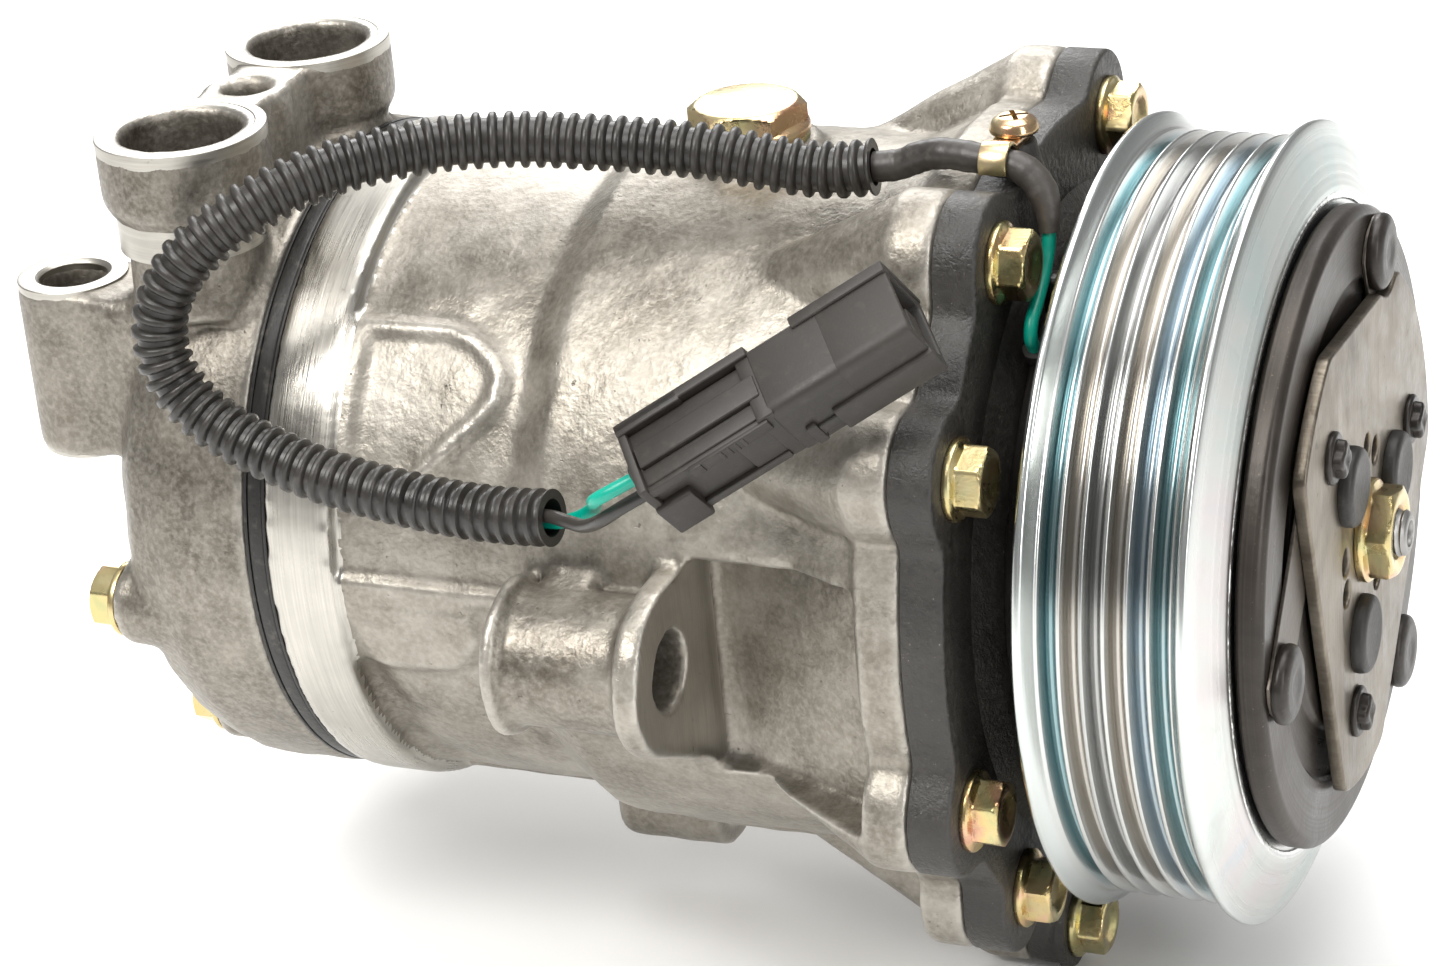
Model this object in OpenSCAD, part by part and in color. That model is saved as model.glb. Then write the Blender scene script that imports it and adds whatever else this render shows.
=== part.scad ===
/* [Frame] */
// Shaft axis runs along +X towards the clutch nose; X = 0 is the front face of the side mounting ear
// Front face of the crankcase casting, where the front housing joins it
case_front = 39; // [38:0.5:40]
// Rear face of the crankcase casting, where the valve plate sits
case_rear = -76.5; // [-77:0.5:-76]

/* [Crankcase] */
// Outer radius of the machined ring at the rear of the cylinder block
ring_r = 58; // [57:0.5:59]
// Outer radius of the cast cylinder block
block_r = 55.5; // [55:0.5:56]
// Outer radius of the crank chamber
chamber_r = 60; // [59.5:0.5:61]
// Place of the step between cylinder block and crank chamber
step_x = -30; // [-32:0.5:-28]
// Number of cylinder bores
cylinders = 7; // [7]
// Bore radius of each cylinder
cyl_r = 12.2; // [11:0.1:12.4]
// Radius of the circle that the cylinders sit on
cyl_pcr = 34; // [33.5:0.5:34]

/* [Joint flange] */
// Thickness of the black front housing flange
flange_t = 7; // [6:0.5:8]
// Radius of the flange between the ears
flange_r = 67; // [66:0.5:68]
// Radius of each bolt ear
ear_r = 11; // [10:0.5:12]
// Radius of the bolt circle
bolt_pcr = 64.5; // [64:0.5:65]
// Shank radius of the M6 flange bolts
bolt_r = 3; // [2.5:0.5:3.5]

/* [Mounting] */
// Bolt hole radius in the side mounting ear
ear_hole_r = 6.5; // [5:0.5:7]
// Bolt hole radius in the rear mounting lug
lug_hole_r = 5.8; // [5:0.1:6]
// Bolt hole radius in the lower mounting ear
low_hole_r = 4.5; // [4:0.5:5]

/* [Ports] */
// Bore radius of the suction and discharge ports
port_r = 10.1; // [9:0.1:10.5]
// Depth of the port bores
port_depth = 16; // [12:1:18]

/* [Pulley] */
// Radius over the pulley's end flanges
pulley_r = 65.8; // [65:0.1:66]
// Radius over the rib crests
rib_r = 63; // [62.5:0.1:63.2]
// Pitch of the belt ribs
rib_pitch = 3.56; // [3.56]
// Number of belt grooves
grooves = 6; // [6]
// Depth of each belt groove
groove_d = 2.9; // [2.5:0.1:3]

/* [Clutch] */
// Air gap between rotor face and armature when the coil is off
air_gap = 0.5; // [0.4:0.05:0.6]
// Outer radius of the armature plate
arm_r = 52.5; // [52:0.1:53]
// Thickness of the armature plate
arm_t = 4.6; // [4:0.1:5]
// Thickness of each leaf spring
leaf_t = 0.6; // [0.5:0.1:0.7]

/* [Harness] */
// Outer radius of the corrugated conduit
conduit_r = 4.6; // [4.4:0.1:4.8]
// Radius of the coil lead sleeve
sleeve_r = 2.5; // [2.3:0.1:2.7]
// Radius of each insulated wire
wire_r = 1.1; // [1:0.05:1.2]

/* [Hidden] */
$fn = 48;
fh_x = case_front;
ff_x = case_front + flange_t;
rotor_x = 86.8;
arm_x = rotor_x + air_gap;
arm_f = arm_x + arm_t;
leaf_x = arm_f + 0.05;
hub_x = leaf_x + leaf_t + 0.05;
hub_t = 2.2;
hub_f = hub_x + hub_t;
// flange bolts: [angle from +Z towards -Y, radius]
fbolts = [[-22, 64.5], [30, 64.5], [62, 64.5], [114, 64.5], [145, 64.5], [171, 74.5], [205, 64.5], [238, 64.5], [272, 64.5], [305, 64.5]];
// rear head bolts, between the cylinders; the lug's root takes the seventh place
hbolts = [[104, 49], [155.4, 49], [206.9, 49], [258.3, 49], [309.7, 49], [1.1, 49]];
// radius of the long foot ear
foot_r = 8.3;
// turn of the first cylinder, and the seat of the rear head bolts
cyl_a0 = 27;
seat_x = -110.5;
// hub plate: spring rivets, stoppers and armature rivets
hub_riv = [43, 163, 283];
arm_riv = [97, 217, 337];
port_x = -94;
port_y = [-36.5, 8.7];
port_z = 71.5;
tilt = 18;

// coil lead sleeve, conduit and wire routes
sleeve_route = [[51.2, -22.4, 57.6], [51, -22, 60], [50.4, -21.3, 62.6], [48.8, -20.6, 65.2], [46, -20, 67], [42.5, -19.8, 67.6], [38, -19.4, 68], [33, -18.6, 68], [29, -17.6, 66.9], [25, -17.4, 65.2], [21, -18, 64.8]];
conduit_route = [[21, -18, 64.8], [15, -18.9, 64.2], [9, -19.8, 64.6], [2.5, -21, 65.8], [-4, -22, 67.1], [-10.5, -23, 67.8], [-18, -24.5, 68.6], [-25.5, -26, 69.2], [-33, -28, 69.9], [-40.5, -31, 70.4], [-48, -35, 70.6], [-55, -40, 70.3], [-61.5, -45, 69.5], [-67, -50, 68], [-72, -54.5, 65.6], [-77, -58, 62.4], [-81.3, -60.8, 58.4], [-84.5, -62.6, 53.6], [-86.2, -63.6, 48.4], [-86, -64.2, 43.2], [-84, -64.6, 38.2], [-80.3, -65, 34.2], [-75.2, -65.4, 31], [-69, -65.8, 28.4], [-62.2, -66.2, 26.2], [-55, -66.6, 24.6], [-47, -67, 23.4], [-39, -67.4, 22.6], [-31, -67.8, 22.2], [-24, -68.2, 22.3], [-17, -68.6, 22.9]];
wire_g_route = [[-16.3, -67.4, 21.7], [-13, -67.6, 22.9], [-9, -70, 26], [-5.6, -76, 30], [-2.2, -82, 33.8], [3.27, -80.69, 36.86]];
wire_k_route = [[-16.3, -70.2, 23.9], [-12.5, -72, 24.2], [-8, -75.4, 25.6], [-3.6, -78.2, 28.4], [0.3, -78.8, 31.2], [4.14, -77.59, 33.43]];
lead_g_route = [[51.2, -22.4, 57.4], [51.1, -23.2, 54.6], [51, -25.4, 51.6], [51, -29.2, 48.6], [51, -32.4, 46.4], [51, -33.2, 44], [51, -31.9, 41.9]];

// bring the local Z axis onto the shaft axis, local X up (+Z), local Y to -Y
module ax(x = 0) { translate([x, 0, 0]) rotate([0, 90, 0]) rotate([0, 0, 180]) children(); }
// disc, tube and revolved profile about the shaft axis
module disc(x0, x1, r) { ax(x0) cylinder(h = x1 - x0, r = r, $fn = 96); }
module tube(x0, x1, ro, ri) { difference() { disc(x0, x1, ro); disc(x0 - 1, x1 + 1, ri); } }
module rev(pts) { rotate([0, 90, 0]) rotate_extrude($fn = 96) polygon(pts); }
// point on the bolt circle, angle from +Z towards -Y
function pol(a, r) = [-r * sin(a), r * cos(a)];
module at(x, a, r) { translate([x, -r * sin(a), r * cos(a)]) children(); }
module along(h, r) { rotate([0, 90, 0]) cylinder(h = h, r = r, $fn = 48); }
module hexbolt(x, a, r, len, af = 10) {
  at(x, a, r) {
    along(1.4, 6.6);
    translate([1.2, 0, 0]) rotate([a * 3, 0, 0]) rotate([0, 90, 0]) cylinder(h = 4.6, r = af / 2 / cos(30), $fn = 6);
    translate([-len, 0, 0]) along(len + 1, bolt_r);
  }
}

// swept tube through a list of route points
function unit(v) = v / norm(v);
function tang(P, i) = unit(P[min(i + 1, len(P) - 1)] - P[max(i - 1, 0)]);
function perp(v, t) = unit(v - (v * t) * t);
function nors(P, i, v) = i >= len(P) ? [] : let (n = perp(v, tang(P, i))) concat([n], nors(P, i + 1, n));
module sweep(P, r, n) {
  N = nors(P, 0, perp([0.1, 0.2, 1], tang(P, 0)));
  pts = [for (i = [0 : len(P) - 1]) let (t = tang(P, i), u = N[i], w = cross(t, u)) for (k = [0 : n - 1]) P[i] + r * (cos(360 * k / n) * u + sin(360 * k / n) * w)];
  faces = concat([[for (k = [0 : n - 1]) k]], [for (i = [0 : len(P) - 2]) for (k = [0 : n - 1]) [i * n + k, (i + 1) * n + k, (i + 1) * n + (k + 1) % n, i * n + (k + 1) % n]], [[for (k = [n - 1 : -1 : 0]) (len(P) - 1) * n + k]]);
  polyhedron(pts, faces);
}

// outline shared by the crankcase flange and the front housing
module flange_plan() {
  circle(r = flange_r, $fn = 128);
  for (b = fbolts) {
    p = pol(b[0], b[1]);
    e = b[1] > 70 ? foot_r : ear_r;
    translate([p[1], -p[0]]) circle(r = e, $fn = 48);
    rotate([0, 0, b[0]]) translate([b[1] / 2, 0]) square([b[1], e * 1.96], center = true);
  }
}

// face of the side ear: round at the bolt, then widening into the body
module ear_plan() {
  translate([-3, 66.8]) circle(r = 14.2, $fn = 64);
  polygon([[11.2, 66.8], [12, 50], [12, 43], [-28, 43], [-28, 50.4], [-15.2, 73.9]]);
}

module crankcase_body() {
  // rear machined ring and cylinder block
  disc(case_rear, -64.5, ring_r);
  disc(-65, step_x + 1, block_r);
  rev([[0, step_x - 2], [block_r, step_x - 2], [chamber_r, step_x + 5], [chamber_r, case_front], [0, case_front]]);
  rev([[0, 18], [chamber_r - 0.5, 18], [flange_r - 1, 32], [flange_r - 1, 34], [0, 34]]);
  // joint flange
  ax(31) linear_extrude(case_front - 31) flange_plan();
  // stepped backs of the ears
  for (b = [fbolts[0], fbolts[1], fbolts[2], fbolts[3]]) hull() {
    at(6, b[0], b[1] - 8) along(1, 4);
    at(31, b[0], b[1]) along(1, ear_r - 0.6);
    at(31, b[0], b[1] - 12) along(1, ear_r - 0.6);
  }
  // foot under the flange
  hull() {
    at(31, 171, 74.5) along(8, foot_r);
    at(0, 160, 54) along(4, 6);
    at(31, 171, 50) along(8, ear_r);
  }
  // side mounting ear with its barrel and root
  translate([-28, -66.8, -3]) along(27, 11.2);
  translate([-28, -66.8, -3]) along(2.6, 13.4);
  hull() { translate([-22, -66.8, -3]) along(6, 10); translate([-24, -44, 0]) along(10, 14); }
  ax(-4.6) linear_extrude(4.6) ear_plan();
  translate([-26, -60, -8]) cube([24, 20, 12]);
  // lower mounting ear
  translate([-42, 1, -66]) along(20, 8.6);
  translate([-42, -7.6, -66]) cube([20, 17.2, 20]);
  translate([-24, -16, -62]) cube([30, 14, 20]);
  // oil plug boss
  translate([-8, 0, 50]) cylinder(h = 11.6, r = 12, $fn = 48);
  // raised boss and pad on the side of the cylinder block
  intersection() {
    union() {
      rotate([55, 0, 0]) linear_extrude(60) polygon([[-65, 11.5], [-45.9, 11.6], [-40.5, 9.5], [-37, 6.5], [-35.1, 3.4], [-35.4, -1.2], [-38, -5], [-45.4, -12.4], [-50, -17], [-65, -17]]);
      rotate([100, 0, 0]) linear_extrude(60) polygon([[-65, 7], [-40.3, 7], [-39.8, 1.3], [-42, -3], [-45.3, -4.9], [-65, -6.5]]);
    }
    disc(-64.5, -34, 57.1);
  }
  // parting ridges
  for (s = [90, 270]) rotate([s, 0, 0]) translate([-66, -1.1, 50]) cube([98, 2.2, 7.1]);
  for (s = [90, 270]) rotate([s, 0, 0]) translate([-26, -1.1, 50]) cube([58, 2.2, 10.6]);
  for (a = [160, 215, 330]) rotate([a, 0, 0]) translate([-66, -2, 48]) cube([38, 4, 8.9]);
}

module crankcase_housing() color("#b8b2a6") difference() {
  crankcase_body();
  // cylinder bores
  for (k = [0 : cylinders - 1]) at(case_rear - 1, 360 / cylinders * k + cyl_a0, cyl_pcr) along(58, cyl_r);
  // crank chamber
  disc(-20, case_front - 8, 46.8);
  disc(case_front - 8.01, case_front + 1, 54);
  disc(case_rear - 1, -10, 9.5);
  // tapped holes
  for (b = fbolts) at(case_front - 9, b[0], b[1]) along(10, bolt_r);
  for (b = hbolts) at(case_rear - 1, b[0], b[1]) along(13, bolt_r);
  // mounting bores
  translate([-29, -66.8, -3]) along(30, ear_hole_r);
  translate([-44, 1, -66]) along(24, low_hole_r);
  // open pocket in front of the side ear's face
  translate([0, 0, -28]) linear_extrude(40) polygon([[0, -90], [0, -49], [4, -49], [30.9, -59.4], [30.9, -90]]);
  // oil filler hole
  translate([-8, 0, 45]) cylinder(h = 20, r = 7, $fn = 48);
}

module front_housing() color("#1c1c1b") difference() {
  union() {
    ax(fh_x) linear_extrude(flange_t) flange_plan();
    disc(case_front - 7, fh_x + 0.5, 53.8);
    rev([[0, ff_x - 0.5], [54, ff_x - 0.5], [50, 49], [48, 50], [0, 50]]);
    disc(49.5, 60, 20);
    translate([42.5, -11.5, 60]) cylinder(h = 8.35, r = 3.4, $fn = 32);
    disc(59.5, 85, 17.5);
  }
  // hollow behind the cover
  rev([[0, case_front - 8], [44, case_front - 8], [44, 40], [30, 42], [0, 42]]);
  // shaft bearing seat, seal seat and nose bore
  disc(41, 56, 11.5);
  disc(55, 86, 13.5);
  disc(40, 86, 9.2);
  // o-ring groove in the spigot
  tube(case_front - 4.6, case_front - 2, 55, 51.9);
  // snap ring grooves
  tube(53.2, 54.4, 22, 19.2);
  tube(82.5, 83.7, 20, 16.7);
  tube(77, 78.1, 14.3, 13.4);
  // tapped hole of the lead clamp
  translate([42.5, -11.5, 59]) cylinder(h = 12, r = 2.2, $fn = 32);
  // bolt holes
  for (b = fbolts) at(fh_x - 1, b[0], b[1]) along(flange_t + 2, bolt_r + 0.3);
}

module front_housing_bolts() color("#b9a064") for (b = fbolts) hexbolt(ff_x, b[0], b[1], 15);

module case_o_ring() color("#111111") rotate([0, 90, 0]) rotate_extrude($fn = 96) translate([52.9, case_front - 3.3]) circle(r = 1, $fn = 24);

module rear_head() color("#a9a49a") difference() {
  union() {
    rev([[0, -110], [43, -110], [49, -108.6], [54.2, -104.5], [57.6, -96.5], [57.6, -80.5], [0, -80.5]]);
    // port blocks and their web
    for (y = port_y) translate([port_x, y, 40]) cylinder(h = port_z - 40, r = 11.4, $fn = 64);
    for (y = port_y) translate([port_x, y, 60]) cylinder(h = port_z - 60, r = 14.4, $fn = 64);
    for (y = port_y) translate([port_x, y, 56.5]) cylinder(h = 3.51, r1 = 11.4, r2 = 14.4, $fn = 64);
    translate([port_x - 7, port_y[0], 40]) cube([14, port_y[1] - port_y[0], port_z - 41]);
    translate([port_x, -14, 50]) cylinder(h = port_z - 50.5, r = 8, $fn = 48);
    // rear mounting lug and its root
    translate([-121, -34, 12]) cylinder(h = 30.7, r = 9.8, $fn = 48);
    translate([-121, -43.2, 12.6]) cube([26, 18.4, 29.2]);
    translate([-110, -44, 20]) cube([18, 24, 20]);
    // stiffening ribs on the rear face
    for (b = hbolts) rotate([b[0], 0, 0]) translate([-112.5, -3, 6]) cube([8, 6, 34.5]);
    disc(-114, -108, 15);
    for (b = hbolts) at(seat_x, b[0], b[1]) along(20, 7.6);
  }
  // suction and discharge chambers
  tube(-103, -80, 52.5, 43);
  tube(-103, -80, 39.5, 30);
  tube(-103, -80, 26, 8);
  // ports
  for (y = port_y) translate([port_x, y, port_z - port_depth]) cylinder(h = port_depth + 1, r = port_r, $fn = 64);
  for (y = port_y) translate([port_x, y, 30]) cylinder(h = 30, r = 5, $fn = 32);
  translate([port_x, -14, port_z - 14]) cylinder(h = 16, r = 3.9, $fn = 32);
  translate([-121, -34, 10]) cylinder(h = 34, r = lug_hole_r, $fn = 48);
  // bolt holes
  for (b = hbolts) at(-123, b[0], b[1]) along(45, bolt_r + 0.3);
}

module head_gaskets() color("#121212") for (x = [-80.5, -77.1]) difference() {
  disc(x, x + 0.6, 57.3);
  disc(x - 1, x + 2, 49.6 - 24);
  for (b = hbolts) at(x - 1, b[0], b[1]) along(3, bolt_r + 0.5);
  for (k = [0 : cylinders - 1]) at(x - 1, 360 / cylinders * k + cyl_a0, cyl_pcr) along(3, 8);
}

module valve_plate() color("#2a2a2a") difference() {
  disc(-79.9, -77.1, 57.2);
  for (b = hbolts) at(-81, b[0], b[1]) along(5, bolt_r + 0.3);
  for (k = [0 : cylinders - 1]) {
    at(-81, 360 / cylinders * k + cyl_a0 - 7, 34) along(5, 2.4);
    at(-81, 360 / cylinders * k + cyl_a0 + 8, 34) along(5, 2.8);
  }
}

module discharge_reeds() color("#8d8f92") for (k = [0 : cylinders - 1]) at(-80.32, 360 / cylinders * k + cyl_a0 - 7, 34) { along(0.4, 3.4); }

module suction_reeds() color("#8d8f92") for (k = [0 : cylinders - 1]) at(-77.08, 360 / cylinders * k + cyl_a0 + 8, 34) { along(0.4, 3.2); }

module head_bolts() color("#b9a064") for (b = hbolts) at(seat_x, b[0], b[1]) {
  translate([-1.4, 0, 0]) along(1.4, 6.6);
  translate([-5.8, 0, 0]) rotate([b[0] * 2, 0, 0]) rotate([0, 90, 0]) cylinder(h = 4.6, r = 5 / cos(30), $fn = 6);
  translate([-1, 0, 0]) along(46.5, bolt_r);
}

module oil_plug() color("#bfa877") {
  translate([-8, 0, 62.6]) cylinder(h = 5.4, r = 10.2, $fn = 6);
  translate([-8, 0, 62.6]) cylinder(h = 1.6, r = 10.4, $fn = 64);
  translate([-8, 0, 53.6]) cylinder(h = 9.5, r = 7, $fn = 48);
}
module oil_plug_washer() color("#9c6b3f") translate([-8, 0, 61.6]) difference() { cylinder(h = 1, r = 10.2, $fn = 48); translate([0, 0, -1]) cylinder(h = 3, r = 7.05, $fn = 48); }

module pistons() color("#a7a9ab") for (k = [0 : cylinders - 1]) difference() {
  at(-68, 360 / cylinders * k + cyl_a0, cyl_pcr) along(26, cyl_r - 0.05);
  at(-60, 360 / cylinders * k + cyl_a0, cyl_pcr) along(20, 8.4);
  at(-65, 360 / cylinders * k + cyl_a0, cyl_pcr) rotate([0, 90, 0]) difference() { cylinder(h = 1.6, r = 14, $fn = 48); translate([0, 0, -1]) cylinder(h = 4, r = cyl_r - 1.6, $fn = 48); }
}
module piston_rings() color("#5c5e60") for (k = [0 : cylinders - 1]) at(-64.9, 360 / cylinders * k + cyl_a0, cyl_pcr) rotate([0, 90, 0]) difference() { cylinder(h = 1.4, r = cyl_r - 0.01, $fn = 48); translate([0, 0, -1]) cylinder(h = 4, r = cyl_r - 1.5, $fn = 48); }
module connecting_rods() color("#8b8d8f") for (k = [0 : cylinders - 1]) at(-56, 360 / cylinders * k + cyl_a0, cyl_pcr) translate([1.2, 0, 0]) rotate([0, 90, 0]) { sphere(r = 5, $fn = 32); cylinder(h = 24, r = 3, $fn = 48); }

module radial_bearing() color("#9a9c9e") difference() { disc(43, 55, 11.5); disc(42, 56, 8.56); }
module thrust_race() color("#9a9c9e") { tube(30.6, 33.4, 28, 12); tube(33.4, 42, 16, 12); }
module shaft_seal() color("#26282a") difference() { disc(58, 76.9, 13.5); disc(57, 78, 8.56); tube(60, 76, 12, 9.6); }
module seal_snap_ring() color("#6c6e70") difference() { disc(77.05, 78.05, 14.2); disc(76, 79, 11.6); translate([76, -3, -16]) cube([3, 6, 8]); }

module coil_housing() color("#151515") {
  difference() {
    union() { disc(53, 79, 55.3); disc(50, 53.2, 50); rotate([-20, 0, 0]) translate([50, -9, 40]) cube([3.2, 18, 12.5]); }
    tube(56, 80, 50.5, 36.5);
    disc(49, 80, 30.7);
  }
  // coil plate that clamps on the snout
  difference() { disc(50, 53.1, 31.5); disc(49, 54, 20.05); }
}
module coil_winding() color("#3a2c20") difference() { disc(56, 78.2, 50.5); disc(55, 79, 36.5); }
module coil_snap_ring() color("#6c6e70") difference() { disc(53.2, 54.3, 23.5); disc(53, 55, 19.3); translate([52, -3, -26]) cube([4, 6, 10]); }
module lead_grommet() color("#141414") rotate([37.3, 0, 0]) translate([51, 0, 0]) intersection() { translate([0, 0, 50]) cylinder(h = 2.6, r = 1.9, $fn = 32); rotate([0, 90, 0]) difference() { cylinder(h = 10, r = 60, center = true, $fn = 96); cylinder(h = 12, r = 50.02, center = true, $fn = 96); } }
module lead_clamp() color("#b39a5c") {
  difference() { translate([40.2, -17.3, 68.4]) cube([4.6, 9.6, 1.3]); translate([42.5, -11.5, 60]) cylinder(h = 20, r = 2.3, $fn = 24); translate([38, -19.8, 67.6]) rotate([0, 90, 0]) cylinder(h = 8, r = sleeve_r + 0.15, $fn = 32); }
  translate([40.2, -19.8, 67.6]) rotate([0, 90, 0]) difference() { cylinder(h = 4.6, r = 3.9, $fn = 32); translate([0, 0, -1]) cylinder(h = 8, r = sleeve_r + 0.15, $fn = 32); translate([0, -0.5, -1]) cube([6, 10, 8]); translate([1.2, -5, -1]) cube([6, 10, 8]); }
}
module clamp_screw() color("#b39a5c") translate([42.5, -11.5, 0]) difference() {
  union() { translate([0, 0, 69.75]) cylinder(h = 2.8, r1 = 4.4, r2 = 3.4, $fn = 48); translate([0, 0, 60]) cylinder(h = 10, r = 2.2, $fn = 32); }
  translate([-5, -0.45, 71.6]) cube([10, 0.9, 3]);
  translate([-0.45, -5, 71.6]) cube([0.9, 10, 3]);
}

module bearing_inner_race() color("#9fa1a3") rotate([0, 90, 0]) rotate_extrude($fn = 96) difference() {
  translate([17.52, 62]) square([2.88, 20]);
  for (x = [67, 77]) translate([21.75, x]) circle(r = 2.5, $fn = 32);
}
module bearing_snap_ring() color("#6c6e70") difference() { disc(82.55, 83.65, 19.4); disc(82, 84, 16.8); translate([81, -2.5, 14]) cube([4, 5, 8]); }
module bearing_outer_race() color("#9fa1a3") rotate([0, 90, 0]) rotate_extrude($fn = 96) difference() {
  translate([23.1, 62]) square([2.9, 20]);
  for (x = [67, 77]) translate([21.75, x]) circle(r = 2.5, $fn = 32);
}
module bearing_balls() color("#c6c8ca") for (x = [67, 77]) {
  for (k = [0 : 13]) at(x, k * 360 / 14 + (x > 70 ? 12 : 0), 21.75) sphere(r = 2.4, $fn = 32);
  tube(x - 2, x + 2, 22, 21.5);
}
module bearing_seals() color("#1a1a1a") for (x = [62.2, 81]) tube(x, x + 0.8, 23.1, 20.6);

module groove_cut(i) {
  x = 70 + (i - (grooves - 1) / 2) * rib_pitch;
  polygon([[rib_r + 1, x - 1.95], [rib_r - groove_d, x - 0.5], [rib_r - groove_d, x + 0.5], [rib_r + 1, x + 1.95]]);
}
module pulley() color("#c3cbd0") difference() {
  rotate([0, 90, 0]) rotate_extrude($fn = 96) difference() {
    polygon([[26, 60.5], [30, 60.5], [30, 80], [56, 80], [56, 56.6], [57, 56], [64.6, 56], [pulley_r, 56.6], [pulley_r, 57.6], [rib_r, 58.9], [rib_r, 81.1], [pulley_r, 82.4], [pulley_r, 83.4], [65.2, 84], [63.4, 84.4], [54.6, 87.2], [53.4, 87.2], [53.2, rotor_x], [31, rotor_x], [30, 86], [26, 86]]);
    for (i = [0 : grooves - 1]) groove_cut(i);
  }
  // flux slots in the rotor face
  for (k = [0 : 2]) rotate([k * 120, 0, 0]) rotate([0, 90, 0]) {
    rotate_extrude(angle = 88, start = 10, $fn = 96) translate([46, 79]) square([2.2, 9]);
    rotate_extrude(angle = 88, start = 60, $fn = 96) translate([37, 79]) square([2.2, 9]);
  }
  // internal snap ring groove
  tube(82.2, 83.4, 27.2, 25);
}
module pulley_snap_ring() color("#6c6e70") difference() { disc(82.25, 83.35, 27.1); disc(82, 84, 23.4); translate([81, -3, 20]) cube([4, 6, 10]); }

module shaft() color("#a5a7a9") difference() {
  union() {
    disc(-32, 30, 8.4);
    disc(30, 77, 8.5);
    disc(76.5, 92, 7);
    disc(91.5, 102, 4);
    disc(-40, -31.5, 6);
  }
  translate([80, -2, 5.2]) cube([10, 4, 4]);
  translate([99, 0, 0]) disc(0, 6, 2.1);
}
module shaft_key() color("#8b8d8f") translate([80, -2, 5.2]) cube([9, 4, 3.3]);

module cam_rotor() color("#77797b") difference() {
  intersection() {
    disc(-26, 30, 44);
    translate([8, 0, 0]) rotate([0, tilt, 0]) translate([0, -60, -60]) cube([60, 120, 120]);
    rev([[0, -30], [44, -30], [44, 22], [28, 30], [0, 30]]);
  }
  disc(-40, 40, 8.4);
}
// the planet plate turns about the axis that leans with the rotor's face
module planet_plate() color("#8f9193") translate([8, 0, 0]) rotate([0, tilt, 0]) difference() {
  union() {
    translate([-7, 0, 0]) along(6.4, 42);
    translate([-10.5, 0, 0]) along(5, 22);
  }
  translate([-20, 0, 0]) along(30, 14);
}

// hub plate outline in the plane across the shaft, local X up, local Y to -Y
module hub_plan() {
  offset(r = 3, $fn = 32) offset(delta = -3) intersection() {
    circle(r = 43.2, $fn = 96);
    rotate([0, 0, 107]) translate([-100 + 27.5, -60]) square([100, 120]);
    rotate([0, 0, -4]) translate([-100 + 37, -60]) square([100, 120]);
    rotate([0, 0, 229]) translate([-100 + 34, -60]) square([100, 120]);
  }
}
module hub_plate() color("#8f877c") difference() {
  union() {
    ax(hub_x) linear_extrude(hub_t) hub_plan();
    disc(86.9, hub_x + 0.5, 11);
  }
  disc(80, 92.4, 7.02);
  disc(91, 97, 4.02);
  for (a = hub_riv) { at(80, a, 30) along(20, 2.2); at(80, a - 2, 17) along(20, 4.2); }
  for (a = hub_riv) { at(hub_x - 1, a + 46, 13) along(5, 2.3); at(hub_x - 1, a + 70, 14) along(5, 2.3); }
  for (a = arm_riv) at(hub_x - 1, a, 45) along(6, 7.2);
  translate([82, -2.05, 5]) cube([7.6, 4.1, 3.7]);
}
module hub_nut() color("#bfa45f") difference() {
  union() { disc(hub_f, hub_f + 1.4, 8.6); translate([hub_f + 1.2, 0, 0]) rotate([12, 0, 0]) rotate([0, 90, 0]) cylinder(h = 4.4, r = 8.1, $fn = 6); }
  disc(hub_f - 1, hub_f + 10, 4);
}
module air_gap_shims() color("#8b8d8f") tube(92, 92.4, 6.9, 4.05);
module hub_stoppers() color("#191919") for (a = hub_riv) at(0, a - 2, 17) {
  translate([hub_f, 0, 0]) along(2.4, 6.6);
  translate([arm_f + 0.05, 0, 0]) along(hub_f - arm_f + 0.5, 4.15);
}
module hub_rivets() color("#2b2a29") for (a = hub_riv) at(0, a, 30) {
  translate([hub_f, 0, 0]) along(1.0, 4.3);
  translate([hub_f + 0.9, 0, 0]) along(1.7, 3.0);
  translate([leaf_x - 0.04, 0, 0]) along(hub_f - leaf_x + 0.5, 2.2);
}
// three leaf springs from the hub rivets to the armature rivets
module leaf_springs() color("#4a4641") for (k = [0 : 2]) difference() {
  ax(leaf_x) linear_extrude(leaf_t) {
    a = hub_riv[k]; b = arm_riv[k];
    pa = [30 * cos(a), 30 * sin(a)]; pb = [45 * cos(b), 45 * sin(b)];
    L = norm(pb - pa);
    translate(pa) circle(r = 6.3, $fn = 48);
    translate(pb) circle(r = 6.6, $fn = 48);
    translate(pa) rotate([0, 0, atan2(pb[1] - pa[1], pb[0] - pa[0])]) translate([0, -6]) square([L, 12]);
  }
  at(80, hub_riv[k], 30) along(20, 2.25);
  at(80, arm_riv[k], 45) along(20, 2.7);
  at(80, hub_riv[k] - 2, 17) along(20, 6);
}
module armature_plate() color("#24211e") difference() {
  rev([[14, arm_x], [arm_r - 0.8, arm_x], [arm_r, arm_x + 0.8], [arm_r, arm_f - 1.4], [arm_r - 1.4, arm_f], [41.5, arm_f], [40.5, arm_f - 0.9], [33, arm_f - 0.9], [32, arm_f], [14, arm_f]]);
  disc(arm_x - 1, arm_f + 1, 13.5);
  for (a = arm_riv) at(80, a, 45) along(20, 2.7);
  // banana slots
  for (k = [0 : 2]) rotate([-120 * k, 0, 0]) rotate([0, 90, 0]) rotate_extrude(angle = 44, start = 180 - 43 - 112, $fn = 96) translate([35, arm_x - 1]) square([4.4, 8]);
}
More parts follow.
